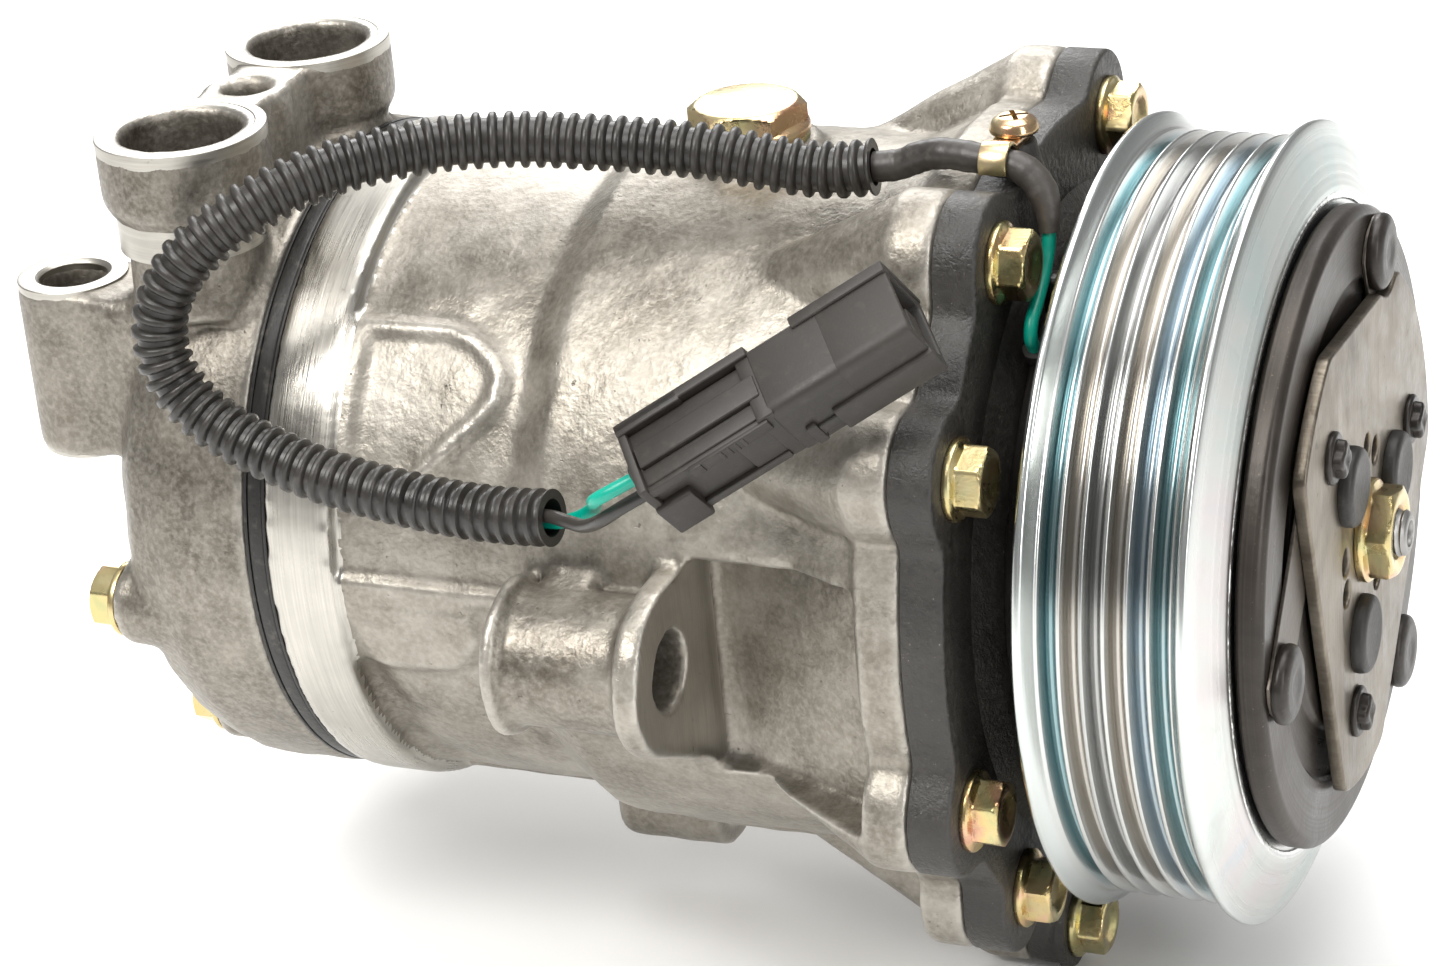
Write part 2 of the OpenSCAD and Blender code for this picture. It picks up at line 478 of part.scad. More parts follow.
module armature_rivets() color("#1d1b1a") for (a = arm_riv) at(0, a, 45) {
  translate([arm_x + 0.3, 0, 0]) along(leaf_x + leaf_t - arm_x - 0.3, 2.65);
  translate([leaf_x + leaf_t, 0, 0]) along(2.6, 6.4);
}

module lead_sleeve() color("#2f2d2c") sweep(sleeve_route, sleeve_r, 8);
module lead_wire() color("#17806a") sweep(lead_g_route, wire_r, 8);
module conduit() color("#232323") sweep(conduit_route, conduit_r, 10);
module wire_green() color("#17806a") sweep(wire_g_route, wire_r, 8);
module wire_black() color("#1b1b1b") sweep(wire_k_route, wire_r, 8);

// two-way connector, its long axis rising towards the clutch and its edge turned outwards
module conn() { translate([24.3, -71.05, 47.72]) rotate([123.051, -29.61, 21.437]) children(); }
module connector_body() color("#35302b") conn() difference() {
  union() {
    // front shell, with its tab and the step of its lower face
    translate([-0.5, -6.4, -6.4]) cube([24.7, 12.8, 12.8]);
    translate([7.5, 4.4, -7.2]) cube([16.7, 2.6, 2.2]);
    translate([6.8, -6, 5.6]) cube([17.4, 6, 1.7]);
    // rear shell, with its rails, panel and latch block
    translate([-23.7, -5.4, -5.4]) cube([24, 11.2, 11.2]);
    translate([-24.2, -6.2, -6.6]) cube([1.8, 12.8, 13]);
    translate([-24, -5, -7.2]) cube([24, 12, 2]);
    translate([-22.4, 4.6, -2]) cube([22, 2, 4.2]);
    translate([-24.2, -6.6, 4]) cube([6.6, 8, 3.2]);
  }
  translate([12, -4.9, -4.9]) cube([14, 9.8, 9.8]);
  translate([-22.4, 5.7, -5.1]) cube([21.6, 2, 3]);
}
module connector_lock() color("#2c2825") conn() translate([-15.6, 3.3, 5.81]) cube([14.2, 2.4, 1]);
module connector_seal() color("#20242a") conn() translate([-24.95, -4.6, -2.3]) cube([0.75, 9.2, 4.6]);

crankcase_housing();
front_housing();
front_housing_bolts();
case_o_ring();
rear_head();
head_gaskets();
valve_plate();
discharge_reeds();
suction_reeds();
head_bolts();
oil_plug();
oil_plug_washer();
pistons();
piston_rings();
connecting_rods();
radial_bearing();
thrust_race();
shaft_seal();
seal_snap_ring();
coil_housing();
coil_winding();
coil_snap_ring();
lead_grommet();
lead_clamp();
clamp_screw();
bearing_inner_race();
bearing_snap_ring();
bearing_outer_race();
bearing_balls();
bearing_seals();
pulley();
pulley_snap_ring();
shaft();
shaft_key();
cam_rotor();
planet_plate();
hub_plate();
hub_nut();
air_gap_shims();
hub_stoppers();
hub_rivets();
leaf_springs();
armature_plate();
armature_rivets();
lead_sleeve();
lead_wire();
conduit();
wire_green();
wire_black();
connector_body();
connector_lock();
connector_seal();
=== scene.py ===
import bpy, bmesh, math
import numpy as np
from mathutils import Vector, Matrix, geometry


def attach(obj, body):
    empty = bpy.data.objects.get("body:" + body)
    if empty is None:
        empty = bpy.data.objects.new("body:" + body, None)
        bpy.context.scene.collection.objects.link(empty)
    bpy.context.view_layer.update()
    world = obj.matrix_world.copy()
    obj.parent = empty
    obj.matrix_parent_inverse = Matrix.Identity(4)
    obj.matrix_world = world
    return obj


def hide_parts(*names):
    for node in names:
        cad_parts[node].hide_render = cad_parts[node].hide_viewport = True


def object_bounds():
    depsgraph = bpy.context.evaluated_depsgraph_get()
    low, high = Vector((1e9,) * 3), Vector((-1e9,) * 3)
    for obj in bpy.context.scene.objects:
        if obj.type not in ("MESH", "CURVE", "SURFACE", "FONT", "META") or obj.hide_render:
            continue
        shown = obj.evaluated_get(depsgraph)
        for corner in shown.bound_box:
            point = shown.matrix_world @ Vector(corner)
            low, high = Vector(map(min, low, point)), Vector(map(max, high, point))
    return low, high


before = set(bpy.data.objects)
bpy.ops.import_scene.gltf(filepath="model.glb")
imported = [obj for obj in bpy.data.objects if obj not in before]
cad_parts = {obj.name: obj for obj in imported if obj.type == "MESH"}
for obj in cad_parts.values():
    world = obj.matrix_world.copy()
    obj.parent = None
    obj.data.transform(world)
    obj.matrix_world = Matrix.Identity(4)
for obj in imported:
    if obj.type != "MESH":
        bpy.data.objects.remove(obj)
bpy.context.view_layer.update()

MM = 0.001
rng = np.random.default_rng(7)
scene = bpy.context.scene

# ---------------------------------------------------------------- camera
cam_data = bpy.data.cameras.new("view_camera")
cam_data.sensor_fit = "HORIZONTAL"
cam_data.sensor_width = 36.0
cam_data.lens = 100.80
cam_data.clip_start, cam_data.clip_end = 0.02, 30
cam = bpy.data.objects.new("view_camera", cam_data)
scene.collection.objects.link(cam)
R = Vector((0.92166834, 0.37872786, -0.08421808))
U = Vector((-0.08768175, 0.41478, 0.90568729))
B = Vector((0.37794099, -0.82735891, 0.41549711))
cam.matrix_world = Matrix(((R.x, U.x, B.x, 0.245723), (R.y, U.y, B.y, -0.578845), (R.z, U.z, B.z, 0.288018), (0, 0, 0, 1)))
scene.camera = cam

# ---------------------------------------------------------------- node helpers
class Mat:
    def __init__(self, name, base=(0.5, 0.5, 0.5), rough=0.5, metal=0.0, spec=None, coat=None, aniso=None):
        self.m = bpy.data.materials.new(name)
        self.m.use_nodes = True
        self.t = self.m.node_tree
        self.b = next(n for n in self.t.nodes if n.type == "BSDF_PRINCIPLED")
        self.b.inputs["Base Color"].default_value = (*base, 1)
        self.b.inputs["Roughness"].default_value = rough
        self.b.inputs["Metallic"].default_value = metal
        if spec is not None: self.b.inputs["Specular IOR Level"].default_value = spec
        if coat is not None:
            self.b.inputs["Coat Weight"].default_value = coat[0]
            self.b.inputs["Coat Roughness"].default_value = coat[1]
        if aniso is not None: self.b.inputs["Anisotropic"].default_value = aniso
        self.tc = self.t.nodes.new("ShaderNodeTexCoord")
        self.obj = self.tc.outputs["Object"]

    def new(self, kind, ins=None, **props):
        n = self.t.nodes.new(kind)
        for k, v in props.items(): setattr(n, k, v)
        for k, v in (ins or {}).items(): self.put(n.inputs[k], v)
        return n

    def put(self, sock, v):
        if isinstance(v, bpy.types.NodeSocket): self.t.links.new(v, sock)
        elif sock.type == "RGBA" and not isinstance(v, (int, float)) and len(v) == 3: sock.default_value = (*v, 1)
        else: sock.default_value = v

    def noise(self, scale, detail=3.0, rough=0.5, dist=0.0, vec=None):
        return self.new("ShaderNodeTexNoise", {"Vector": vec or self.obj, "Scale": scale, "Detail": detail, "Roughness": rough, "Distortion": dist}).outputs["Fac"]

    def noise1(self, w, scale, detail=2.0, rough=0.5):
        return self.new("ShaderNodeTexNoise", {"W": w, "Scale": scale, "Detail": detail, "Roughness": rough}, noise_dimensions="1D").outputs["Fac"]

    def voro(self, scale, feature="F1", vec=None, rand=1.0):
        return self.new("ShaderNodeTexVoronoi", {"Vector": vec or self.obj, "Scale": scale, "Randomness": rand}, feature=feature).outputs["Distance"]

    def math(self, op, a, b=0.0, c=None, clamp=False):
        n = self.new("ShaderNodeMath", operation=op, use_clamp=clamp)
        self.put(n.inputs[0], a); self.put(n.inputs[1], b)
        if c is not None: self.put(n.inputs[2], c)
        return n.outputs[0]

    def rng(self, v, f0, f1, t0=0.0, t1=1.0, smooth=False):
        return self.new("ShaderNodeMapRange", {"Value": v, "From Min": f0, "From Max": f1, "To Min": t0, "To Max": t1}, interpolation_type="SMOOTHSTEP" if smooth else "LINEAR").outputs["Result"]

    def ramp(self, fac, stops, interp="LINEAR"):
        n = self.new("ShaderNodeValToRGB", {"Fac": fac})
        cr = n.color_ramp
        cr.interpolation = interp
        while len(cr.elements) < len(stops): cr.elements.new(0.5)
        for e, (p, c) in zip(cr.elements, stops):
            e.position = p
            e.color = (*c, 1) if len(c) == 3 else c
        return n.outputs["Color"]

    def mix(self, fac, a, b, mode="MIX"):
        n = self.new("ShaderNodeMix", data_type="RGBA", blend_type=mode)
        self.put(n.inputs[0], fac); self.put(n.inputs[6], a); self.put(n.inputs[7], b)
        return n.outputs[2]

    def xyz(self, vec=None):
        s = self.new("ShaderNodeSeparateXYZ", {"Vector": vec or self.obj})
        return s.outputs[0], s.outputs[1], s.outputs[2]

    def comb(self, x=0.0, y=0.0, z=0.0):
        return self.new("ShaderNodeCombineXYZ", {"X": x, "Y": y, "Z": z}).outputs[0]

    def radius(self):
        x, y, z = self.xyz()
        return self.math("SQRT", self.math("ADD", self.math("MULTIPLY", y, y), self.math("MULTIPLY", z, z)))

    def scaled(self, sx, sy, sz):
        return self.new("ShaderNodeMapping", {"Vector": self.obj, "Scale": (sx, sy, sz)}).outputs[0]

    def bump(self, height, strength, dist, normal=None):
        ins = {"Height": height, "Strength": strength, "Distance": dist}
        if normal is not None: ins["Normal"] = normal
        return self.new("ShaderNodeBump", ins).outputs[0]

    def color(self, v): self.put(self.b.inputs["Base Color"], v); return self
    def rough(self, v): self.put(self.b.inputs["Roughness"], v); return self
    def metal(self, v): self.put(self.b.inputs["Metallic"], v); return self
    def normal(self, v): self.put(self.b.inputs["Normal"], v); return self
    def point(self): return self.new("ShaderNodeNewGeometry").outputs["Pointiness"]


def cast_material(name, light=(0.36, 0.335, 0.295), dark=(0.115, 0.100, 0.080), mid=(0.225, 0.205, 0.172), edge=0.55, stain=True):
    k = Mat(name, rough=0.45, metal=0.72)
    big = k.noise(26, 5, 0.62, 0.4)
    med = k.noise(150, 4, 0.6)
    fine = k.noise(950, 3, 0.6)
    f = k.math("ADD", k.math("MULTIPLY", big, 0.62), k.math("MULTIPLY", med, 0.38))
    c = k.ramp(f, [(0.33, dark), (0.47, mid), (0.62, light)])
    c = k.mix(k.math("MULTIPLY", k.rng(fine, 0.40, 0.72), 0.30), c, (0.52, 0.49, 0.44))
    if stain:
        st = k.rng(k.noise(17, 4, 0.7, 1.2, vec=k.scaled(1.0, 0.8, 1.3)), 0.58, 0.74, 0, 0.42)
        c = k.mix(st, c, (0.13, 0.10, 0.07))
    pit = k.rng(k.noise(620, 2, 0.7), 0.70, 0.78, 0, 0.65)
    c = k.mix(pit, c, (0.065, 0.055, 0.045))
    p = k.point()
    # painted highlight: convex edges (high pointiness) are mixed towards pale aluminium, up to the edge amount
    c = k.mix(k.rng(p, 0.510, 0.56, 0, edge), c, (0.66, 0.63, 0.58))
    # painted shade: hollows and creases (low pointiness) are mixed towards near-black
    c = k.mix(k.rng(p, 0.488, 0.43, 0, 0.75), c, (0.060, 0.050, 0.038))
    k.color(c)
    k.rough(k.math("ADD", k.rng(med, 0.3, 0.7, 0.36, 0.52), k.rng(p, 0.51, 0.57, 0, -0.10)))
    h = k.math("ADD", k.math("MULTIPLY", fine, 0.55), k.math("MULTIPLY", k.noise(330, 3, 0.55), 1.0))
    h = k.math("ADD", h, k.math("MULTIPLY", pit, -0.6))
    k.normal(k.bump(h, 0.42, 0.0005))
    return k.m


def machined_material(name, base=(0.47, 0.45, 0.41), mode="x", rough=0.27):
    k = Mat(name, rough=rough, metal=1.0)
    x, y, z = k.xyz()
    if mode == "x": v = k.scaled(3200, 60, 60)          # turned: lines round the shaft axis
    elif mode == "zface": v = k.scaled(90, 2600, 90)     # milled flat, lines along X
    else: v = k.scaled(70, 70, 2400)
    lines = k.noise(1.0, 3, 0.6, vec=v)
    big = k.noise(70, 4, 0.6)
    c = k.mix(k.rng(lines, 0.35, 0.7), tuple(a * 0.86 for a in base), tuple(min(1, a * 1.10) for a in base))
    c = k.mix(k.rng(big, 0.45, 0.72, 0, 0.4), c, tuple(a * 0.70 for a in base))
    c = k.mix(k.rng(k.noise(520, 2, 0.6), 0.70, 0.76, 0, 0.5), c, (0.25, 0.23, 0.2))
    k.color(c)
    k.rough(k.math("ADD", k.rng(big, 0.3, 0.7, rough - 0.04, rough + 0.12), k.rng(lines, 0.3, 0.7, -0.04, 0.05)))
    k.normal(k.bump(k.math("ADD", lines, k.math("MULTIPLY", k.noise(700, 2, 0.5), 0.5)), 0.12, 0.0003))
    return k.m


def zinc_yellow(name, scale=1.0, gold=(0.56, 0.42, 0.19)):
    k = Mat(name, rough=0.24, metal=1.0)
    a = k.noise(95 * scale, 3, 0.6, 0.8)
    b = k.noise(170 * scale, 3, 0.55, 0.5, vec=k.new("ShaderNodeVectorMath", {0: k.obj, 1: (0.13, 0.07, 0.21)}, operation="ADD").outputs[0])
    c = k.ramp(a, [(0.30, (0.34, 0.37, 0.19)), (0.42, (0.50, 0.43, 0.21)), (0.52, gold), (0.63, (0.58, 0.34, 0.21)), (0.74, (0.48, 0.24, 0.19))])
    c = k.mix(k.rng(b, 0.42, 0.66, 0, 0.5), c, (0.56, 0.50, 0.32))
    c = k.mix(k.rng(k.noise(900, 3, 0.6), 0.6, 0.75, 0, 0.35), c, (0.32, 0.22, 0.12))
    k.color(c)
    k.rough(k.rng(b, 0.3, 0.7, 0.19, 0.36))
    k.normal(k.bump(k.noise(1300, 3, 0.55), 0.14, 0.0003))
    return k.m


def paint_black(name):
    k = Mat(name, rough=0.42, metal=0.0, spec=0.5)
    g1 = k.noise(820, 4, 0.6)
    g2 = k.noise(2300, 3, 0.6)
    g3 = k.noise(60, 4, 0.6)
    c = k.ramp(k.math("ADD", k.math("MULTIPLY", g3, 0.6), k.math("MULTIPLY", g1, 0.4)), [(0.36, (0.012, 0.0105, 0.009)), (0.62, (0.034, 0.031, 0.027))])
    sp = k.math("MULTIPLY", k.rng(g2, 0.66, 0.74), k.rng(g1, 0.50, 0.62))
    c = k.mix(k.math("MULTIPLY", sp, 0.75), c, (0.36, 0.33, 0.28))
    k.color(c)
    k.rough(k.rng(g1, 0.3, 0.7, 0.34, 0.56))
    k.normal(k.bump(k.math("ADD", g1, k.math("MULTIPLY", g2, 0.45)), 0.55, 0.0005))
    return k.m


def zinc_pulley(name):
    k = Mat(name, rough=0.2, metal=1.0)
    x, y, z = k.xyz()
    r = k.radius()
    w = k.math("ADD", k.math("MULTIPLY", x, 1.0), k.math("MULTIPLY", r, 0.77))
    rings = k.noise1(w, 2600, 3, 0.62)
    rings2 = k.noise1(w, 700, 2, 0.5)
    t = k.rng(x, 0.0560, 0.0880)
    silver, pale, teal, blue, grey, warm = (0.50, 0.51, 0.50), (0.53, 0.56, 0.55), (0.20, 0.315, 0.335), (0.27, 0.335, 0.375), (0.36, 0.36, 0.355), (0.40, 0.375, 0.34)
    def px(v): return (v - 56.0) / 32.0
    st = [(px(56.2), pale), (px(58.6), pale), (px(59.6), silver)]
    for i in range(6):
        g = 70 + (i - 2.5) * 3.56
        core = (teal, warm, grey, warm, blue, teal)[i]
        st += [(px(g - 1.45), silver), (px(g - 0.9), core), (px(g + 0.9), core), (px(g + 1.5), silver)]
    st += [(px(82.0), pale), (px(84.5), pale)]
    c = k.ramp(t, st)
    c = k.mix(k.rng(rings, 0.35, 0.75, 0, 0.38), c, (0.66, 0.67, 0.66))
    c = k.mix(k.rng(rings2, 0.55, 0.75, 0, 0.45), c, (0.24, 0.245, 0.24))
    irid = k.ramp(k.noise(30, 3, 0.6, 0.7), [(0.35, (0.44, 0.52, 0.51)), (0.5, (0.53, 0.54, 0.52)), (0.6, (0.55, 0.50, 0.50)), (0.7, (0.44, 0.49, 0.54))])
    c = k.mix(k.rng(x, 0.0835, 0.0848, 0, 0.75), c, irid)
    dirt = k.math("MULTIPLY", k.rng(k.noise(48, 5, 0.7, 0.6), 0.55, 0.72), 0.32)
    c = k.mix(dirt, c, (0.36, 0.34, 0.30))
    k.color(c)
    k.rough(k.math("ADD", k.rng(rings, 0.3, 0.7, 0.15, 0.27), k.rng(x, 0.0835, 0.0850, 0, 0.10)))
    k.normal(k.bump(k.math("ADD", rings, k.math("MULTIPLY", rings2, 0.6)), 0.10, 0.0002))
    return k.m


def dark_steel(name, dark=(0.014, 0.0115, 0.0095), light=(0.060, 0.050, 0.042), rough=0.34, ring=True, metal=0.55):
    k = Mat(name, rough=rough, metal=metal)
    x, y, z = k.xyz()
    w = k.math("ADD", x, k.radius())
    rings = k.noise1(w, 1500, 3, 0.6) if ring else k.noise(900, 3, 0.6)
    big = k.noise(42, 5, 0.65, 0.5)
    c = k.ramp(k.math("ADD", k.math("MULTIPLY", big, 0.65), k.math("MULTIPLY", rings, 0.35)), [(0.34, dark), (0.66, light)])
    c = k.mix(k.rng(k.noise(1500, 2, 0.6), 0.68, 0.76, 0, 0.45), c, (0.20, 0.17, 0.14))
    k.color(c)
    k.rough(k.math("ADD", k.rng(big, 0.35, 0.7, rough - 0.05, rough + 0.13), k.rng(rings, 0.3, 0.7, -0.05, 0.04)))
    k.normal(k.bump(k.math("ADD", k.math("MULTIPLY", rings, 0.6), k.noise(700, 3, 0.55)), 0.16, 0.0003))
    return k.m


def hub_steel(name):
    k = Mat(name, rough=0.38, metal=0.9)
    big = k.noise(33, 5, 0.65, 0.8)
    med = k.noise(240, 4, 0.6)
    c = k.ramp(k.math("ADD", k.math("MULTIPLY", big, 0.7), k.math("MULTIPLY", med, 0.3)), [(0.34, (0.085, 0.071, 0.054)), (0.5, (0.150, 0.129, 0.102)), (0.66, (0.235, 0.208, 0.170))])
    c = k.mix(k.rng(k.noise(1, 2, 0.6, vec=k.scaled(300, 2400, 120)), 0.45, 0.75, 0, 0.25), c, (0.36, 0.33, 0.28))
    c = k.mix(k.rng(k.noise(500, 2, 0.6), 0.68, 0.76, 0, 0.5), c, (0.045, 0.036, 0.028))
    k.color(c)
    k.rough(k.rng(med, 0.3, 0.7, 0.30, 0.47))
    k.normal(k.bump(k.math("ADD", med, k.noise(1100, 3, 0.6)), 0.16, 0.0003))
    return k.m


def plastic(name, base, rough=0.45, grain=1500, var=0.35, bumps=0.12, spec=0.5, dust=0.0):
    k = Mat(name, rough=rough, metal=0.0, spec=spec)
    big = k.noise(55, 4, 0.6)
    g = k.noise(grain, 3, 0.6)
    c = k.mix(k.rng(big, 0.35, 0.68), tuple(a * (1 - var) for a in base), tuple(a * (1 + var) for a in base))
    if dust: c = k.mix(k.rng(k.noise(420, 4, 0.65), 0.56, 0.78, 0, dust), c, (0.30, 0.27, 0.23))
    k.color(c)
    k.rough(k.math("ADD", k.rng(big, 0.3, 0.7, rough - 0.05, rough + 0.08), k.rng(g, 0.3, 0.7, -0.03, 0.04)))
    k.normal(k.bump(g, bumps, 0.0003))
    return k.m


def steel(name, base=(0.46, 0.455, 0.44), rough=0.3, metal=1.0):
    k = Mat(name, rough=rough, metal=metal)
    rings = k.noise1(k.math("ADD", k.xyz()[0], k.radius()), 1800, 3, 0.6)
    big = k.noise(80, 4, 0.6)
    c = k.mix(k.rng(rings, 0.3, 0.7), tuple(a * 0.75 for a in base), tuple(min(1, a * 1.15) for a in base))
    c = k.mix(k.rng(big, 0.45, 0.7, 0, 0.4), c, tuple(a * 0.6 for a in base))
    k.color(c)
    k.rough(k.rng(big, 0.3, 0.7, rough - 0.05, rough + 0.12))
    k.normal(k.bump(k.math("ADD", rings, k.noise(800, 3, 0.6)), 0.1, 0.0003))
    return k.m


def copper_wound(name):
    k = Mat(name, rough=0.35, metal=0.8)
    w = k.math("ADD", k.xyz()[0], k.radius())
    wv = k.math("SINE", k.math("MULTIPLY", w, 7000.0))
    # painted light and shade: each wire turn is lighter on its crest and darker in the groove between turns, following
    # the bump wave
    c = k.mix(k.rng(wv, -1, 1), (0.16, 0.07, 0.03), (0.50, 0.24, 0.11))
    c = k.mix(k.rng(k.noise(200, 3, 0.6), 0.45, 0.7, 0, 0.5), c, (0.22, 0.10, 0.05))
    k.color(c)
    k.rough(k.rng(k.noise(400, 3, 0.6), 0.3, 0.7, 0.28, 0.45))
    k.normal(k.bump(wv, 0.35, 0.0003))
    return k.m


MAT = {}
MAT["cast"] = cast_material("cast_aluminium_rough")
MAT["cast_dark"] = cast_material("cast_aluminium_rear", light=(0.27, 0.248, 0.212), dark=(0.075, 0.064, 0.050), mid=(0.155, 0.139, 0.115), edge=0.45)
MAT["mach_x"] = machined_material("machined_turned", mode="x")
MAT["mach_f"] = machined_material("machined_face", mode="zface", base=(0.40, 0.38, 0.345), rough=0.33)
MAT["mach_z"] = machined_material("machined_port", mode="z", base=(0.44, 0.42, 0.38), rough=0.30)
MAT["paint"] = paint_black("black_cast_paint")
MAT["yzinc"] = zinc_yellow("yellow_chromate_zinc")
MAT["yzinc_plug"] = zinc_yellow("yellow_zinc_plug", 0.6, gold=(0.52, 0.40, 0.22))
MAT["pulley"] = zinc_pulley("clear_zinc_turned")
MAT["arm"] = dark_steel("black_oxide_steel")
MAT["spring"] = dark_steel("spring_steel", dark=(0.045, 0.038, 0.032), light=(0.15, 0.13, 0.11), rough=0.36, ring=False, metal=0.75)
MAT["hub"] = hub_steel("hub_plate_steel")
MAT["rubber"] = plastic("black_rubber", (0.017, 0.0155, 0.014), 0.50, 1300, 0.3, 0.25, dust=0.12)
MAT["conduit"] = plastic("conduit_plastic", (0.022, 0.0195, 0.017), 0.36, 1600, 0.3, 0.12, dust=0.10)
MAT["sleeve"] = plastic("sleeve_vinyl", (0.036, 0.031, 0.027), 0.42, 900, 0.3, 0.2, dust=0.10)
MAT["connector"] = plastic("connector_plastic", (0.022, 0.0180, 0.0150), 0.50, 2200, 0.22, 0.10, dust=0.06)
MAT["green"] = plastic("green_insulation", (0.0, 0.30, 0.215), 0.30, 900, 0.2, 0.06)
MAT["blackwire"] = plastic("black_insulation", (0.030, 0.027, 0.024), 0.30, 900, 0.2, 0.06)
MAT["coilcase"] = plastic("coil_enamel", (0.011, 0.010, 0.009), 0.30, 700, 0.4, 0.22, dust=0.05)
MAT["gasket"] = plastic("gasket_black", (0.010, 0.009, 0.008), 0.42, 900, 0.5, 0.35, dust=0.25)
MAT["steel"] = steel("bright_steel")
MAT["dullsteel"] = steel("dull_steel", (0.34, 0.335, 0.325), 0.40)
MAT["darkrivet"] = dark_steel("rivet_black", dark=(0.012, 0.010, 0.009), light=(0.040, 0.034, 0.029), rough=0.36, ring=False, metal=0.4)
MAT["copper"] = copper_wound("copper_winding")
MAT["brass"] = zinc_yellow("brass_dull", 0.8, gold=(0.62, 0.47, 0.22))

# ---------------------------------------------------------------- mesh helpers
def finish_obj(name, me, mats, body, rep=(), sharp=32):
    if sharp is not None:
        me.shade_smooth()
        me.set_sharp_from_angle(angle=math.radians(sharp))
    o = bpy.data.objects.new(name, me)
    scene.collection.objects.link(o)
    for m in ([mats] if isinstance(mats, str) else mats):
        me.materials.append(MAT[m])
    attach(o, body)
    if rep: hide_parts(*rep)
    return o


def to_mesh(name, verts, faces, fix=True):
    me = bpy.data.meshes.new(name)
    me.from_pydata((np.asarray(verts, float) * MM).tolist(), [], [list(map(int, f)) for f in faces])
    me.validate()
    if fix:
        bm = bmesh.new(); bm.from_mesh(me)
        bmesh.ops.recalc_face_normals(bm, faces=bm.faces)
        bm.to_mesh(me); bm.free()
    me.update()
    return me


class Build:
    """Gathers several closed shells into one mesh."""
    def __init__(self): self.v, self.f, self.n = [], [], 0
    def add(self, verts, faces):
        self.v.append(np.asarray(verts, float).reshape(-1, 3)); self.f += [[i + self.n for i in f] for f in faces]; self.n += len(self.v[-1]); return self
    def obj(self, name, mats, body, rep=(), sharp=32):
        return finish_obj(name, to_mesh(name, np.vstack(self.v), self.f), mats, body, rep, sharp)


AX = {"x": (np.array([1., 0, 0]), np.array([0., 0, 1]), np.array([0., -1, 0])), "z": (np.array([0., 0, 1]), np.array([1., 0, 0]), np.array([0., 1, 0])),
      "y": (np.array([0., 1, 0]), np.array([1., 0, 0]), np.array([0., 0, -1]))}


def fil(pts, closed=True, seg=5):
    out, n = [], len(pts)
    for i, p in enumerate(pts):
        f = p[2] if len(p) > 2 else 0
        c = np.array(p[:2], float)
        if f <= 0 or (not closed and i in (0, n - 1)):
            out.append(c); continue
        a = np.array(pts[i - 1][:2], float) - c; b = np.array(pts[(i + 1) % n][:2], float) - c
        la, lb = np.linalg.norm(a), np.linalg.norm(b)
        f = min(f, la * 0.49, lb * 0.49)
        p0, p1 = c + a / la * f, c + b / lb * f
        for j in range(seg + 1):
            t = j / seg
            out.append((1 - t) ** 2 * p0 + 2 * t * (1 - t) * c + t * t * p1)
    return np.array(out)


def lathe(pts, seg=128, axis="x", origin=(0, 0, 0), closed=True, fun=None, frame3=None):
    """pts are (height, radius) pairs. Open profiles start and end on the axis."""
    e, u, w = frame3 or AX[axis]
    o = np.array(origin, float)
    pts = np.asarray(pts, float)
    verts, rows = [], []
    ang = np.linspace(0, 2 * math.pi, seg, endpoint=False)
    for h, r in pts:
        if r < 1e-6:
            rows.append([len(verts)]); verts.append(o + e * h)
        else:
            rr = r if fun is None else fun(h, r, ang)
            ring = o + e * h + (np.cos(ang) * rr)[:, None] * u + (np.sin(ang) * rr)[:, None] * w
            rows.append(list(range(len(verts), len(verts) + seg))); verts += list(ring)
    faces = []
    m = len(rows)
    for i in range(m if closed else m - 1):
        a, b = rows[i], rows[(i + 1) % m]
        if len(a) == 1 and len(b) == 1: continue
        for j in range(seg):
            k = (j + 1) % seg
            if len(a) == 1: faces.append([a[0], b[j], b[k]])
            elif len(b) == 1: faces.append([a[j], b[0], a[k]])
            else: faces.append([a[j], b[j], b[k], a[k]])
    return verts, faces


def area2(L): x, y = L[:, 0], L[:, 1]; return 0.5 * np.sum(x * np.roll(y, -1) - y * np.roll(x, -1))


def inset(L, d):
    """moves a loop towards the material, on its left"""
    t0 = L - np.roll(L, 1, 0); t1 = np.roll(L, -1, 0) - L
    t0 /= np.linalg.norm(t0, axis=1)[:, None] + 1e-12; t1 /= np.linalg.norm(t1, axis=1)[:, None] + 1e-12
    n0 = np.stack([-t0[:, 1], t0[:, 0]], 1); n1 = np.stack([-t1[:, 1], t1[:, 0]], 1)
    m = n0 + n1
    m /= np.maximum(np.sum(m * n0, 1), 0.35)[:, None]
    return L + m * d


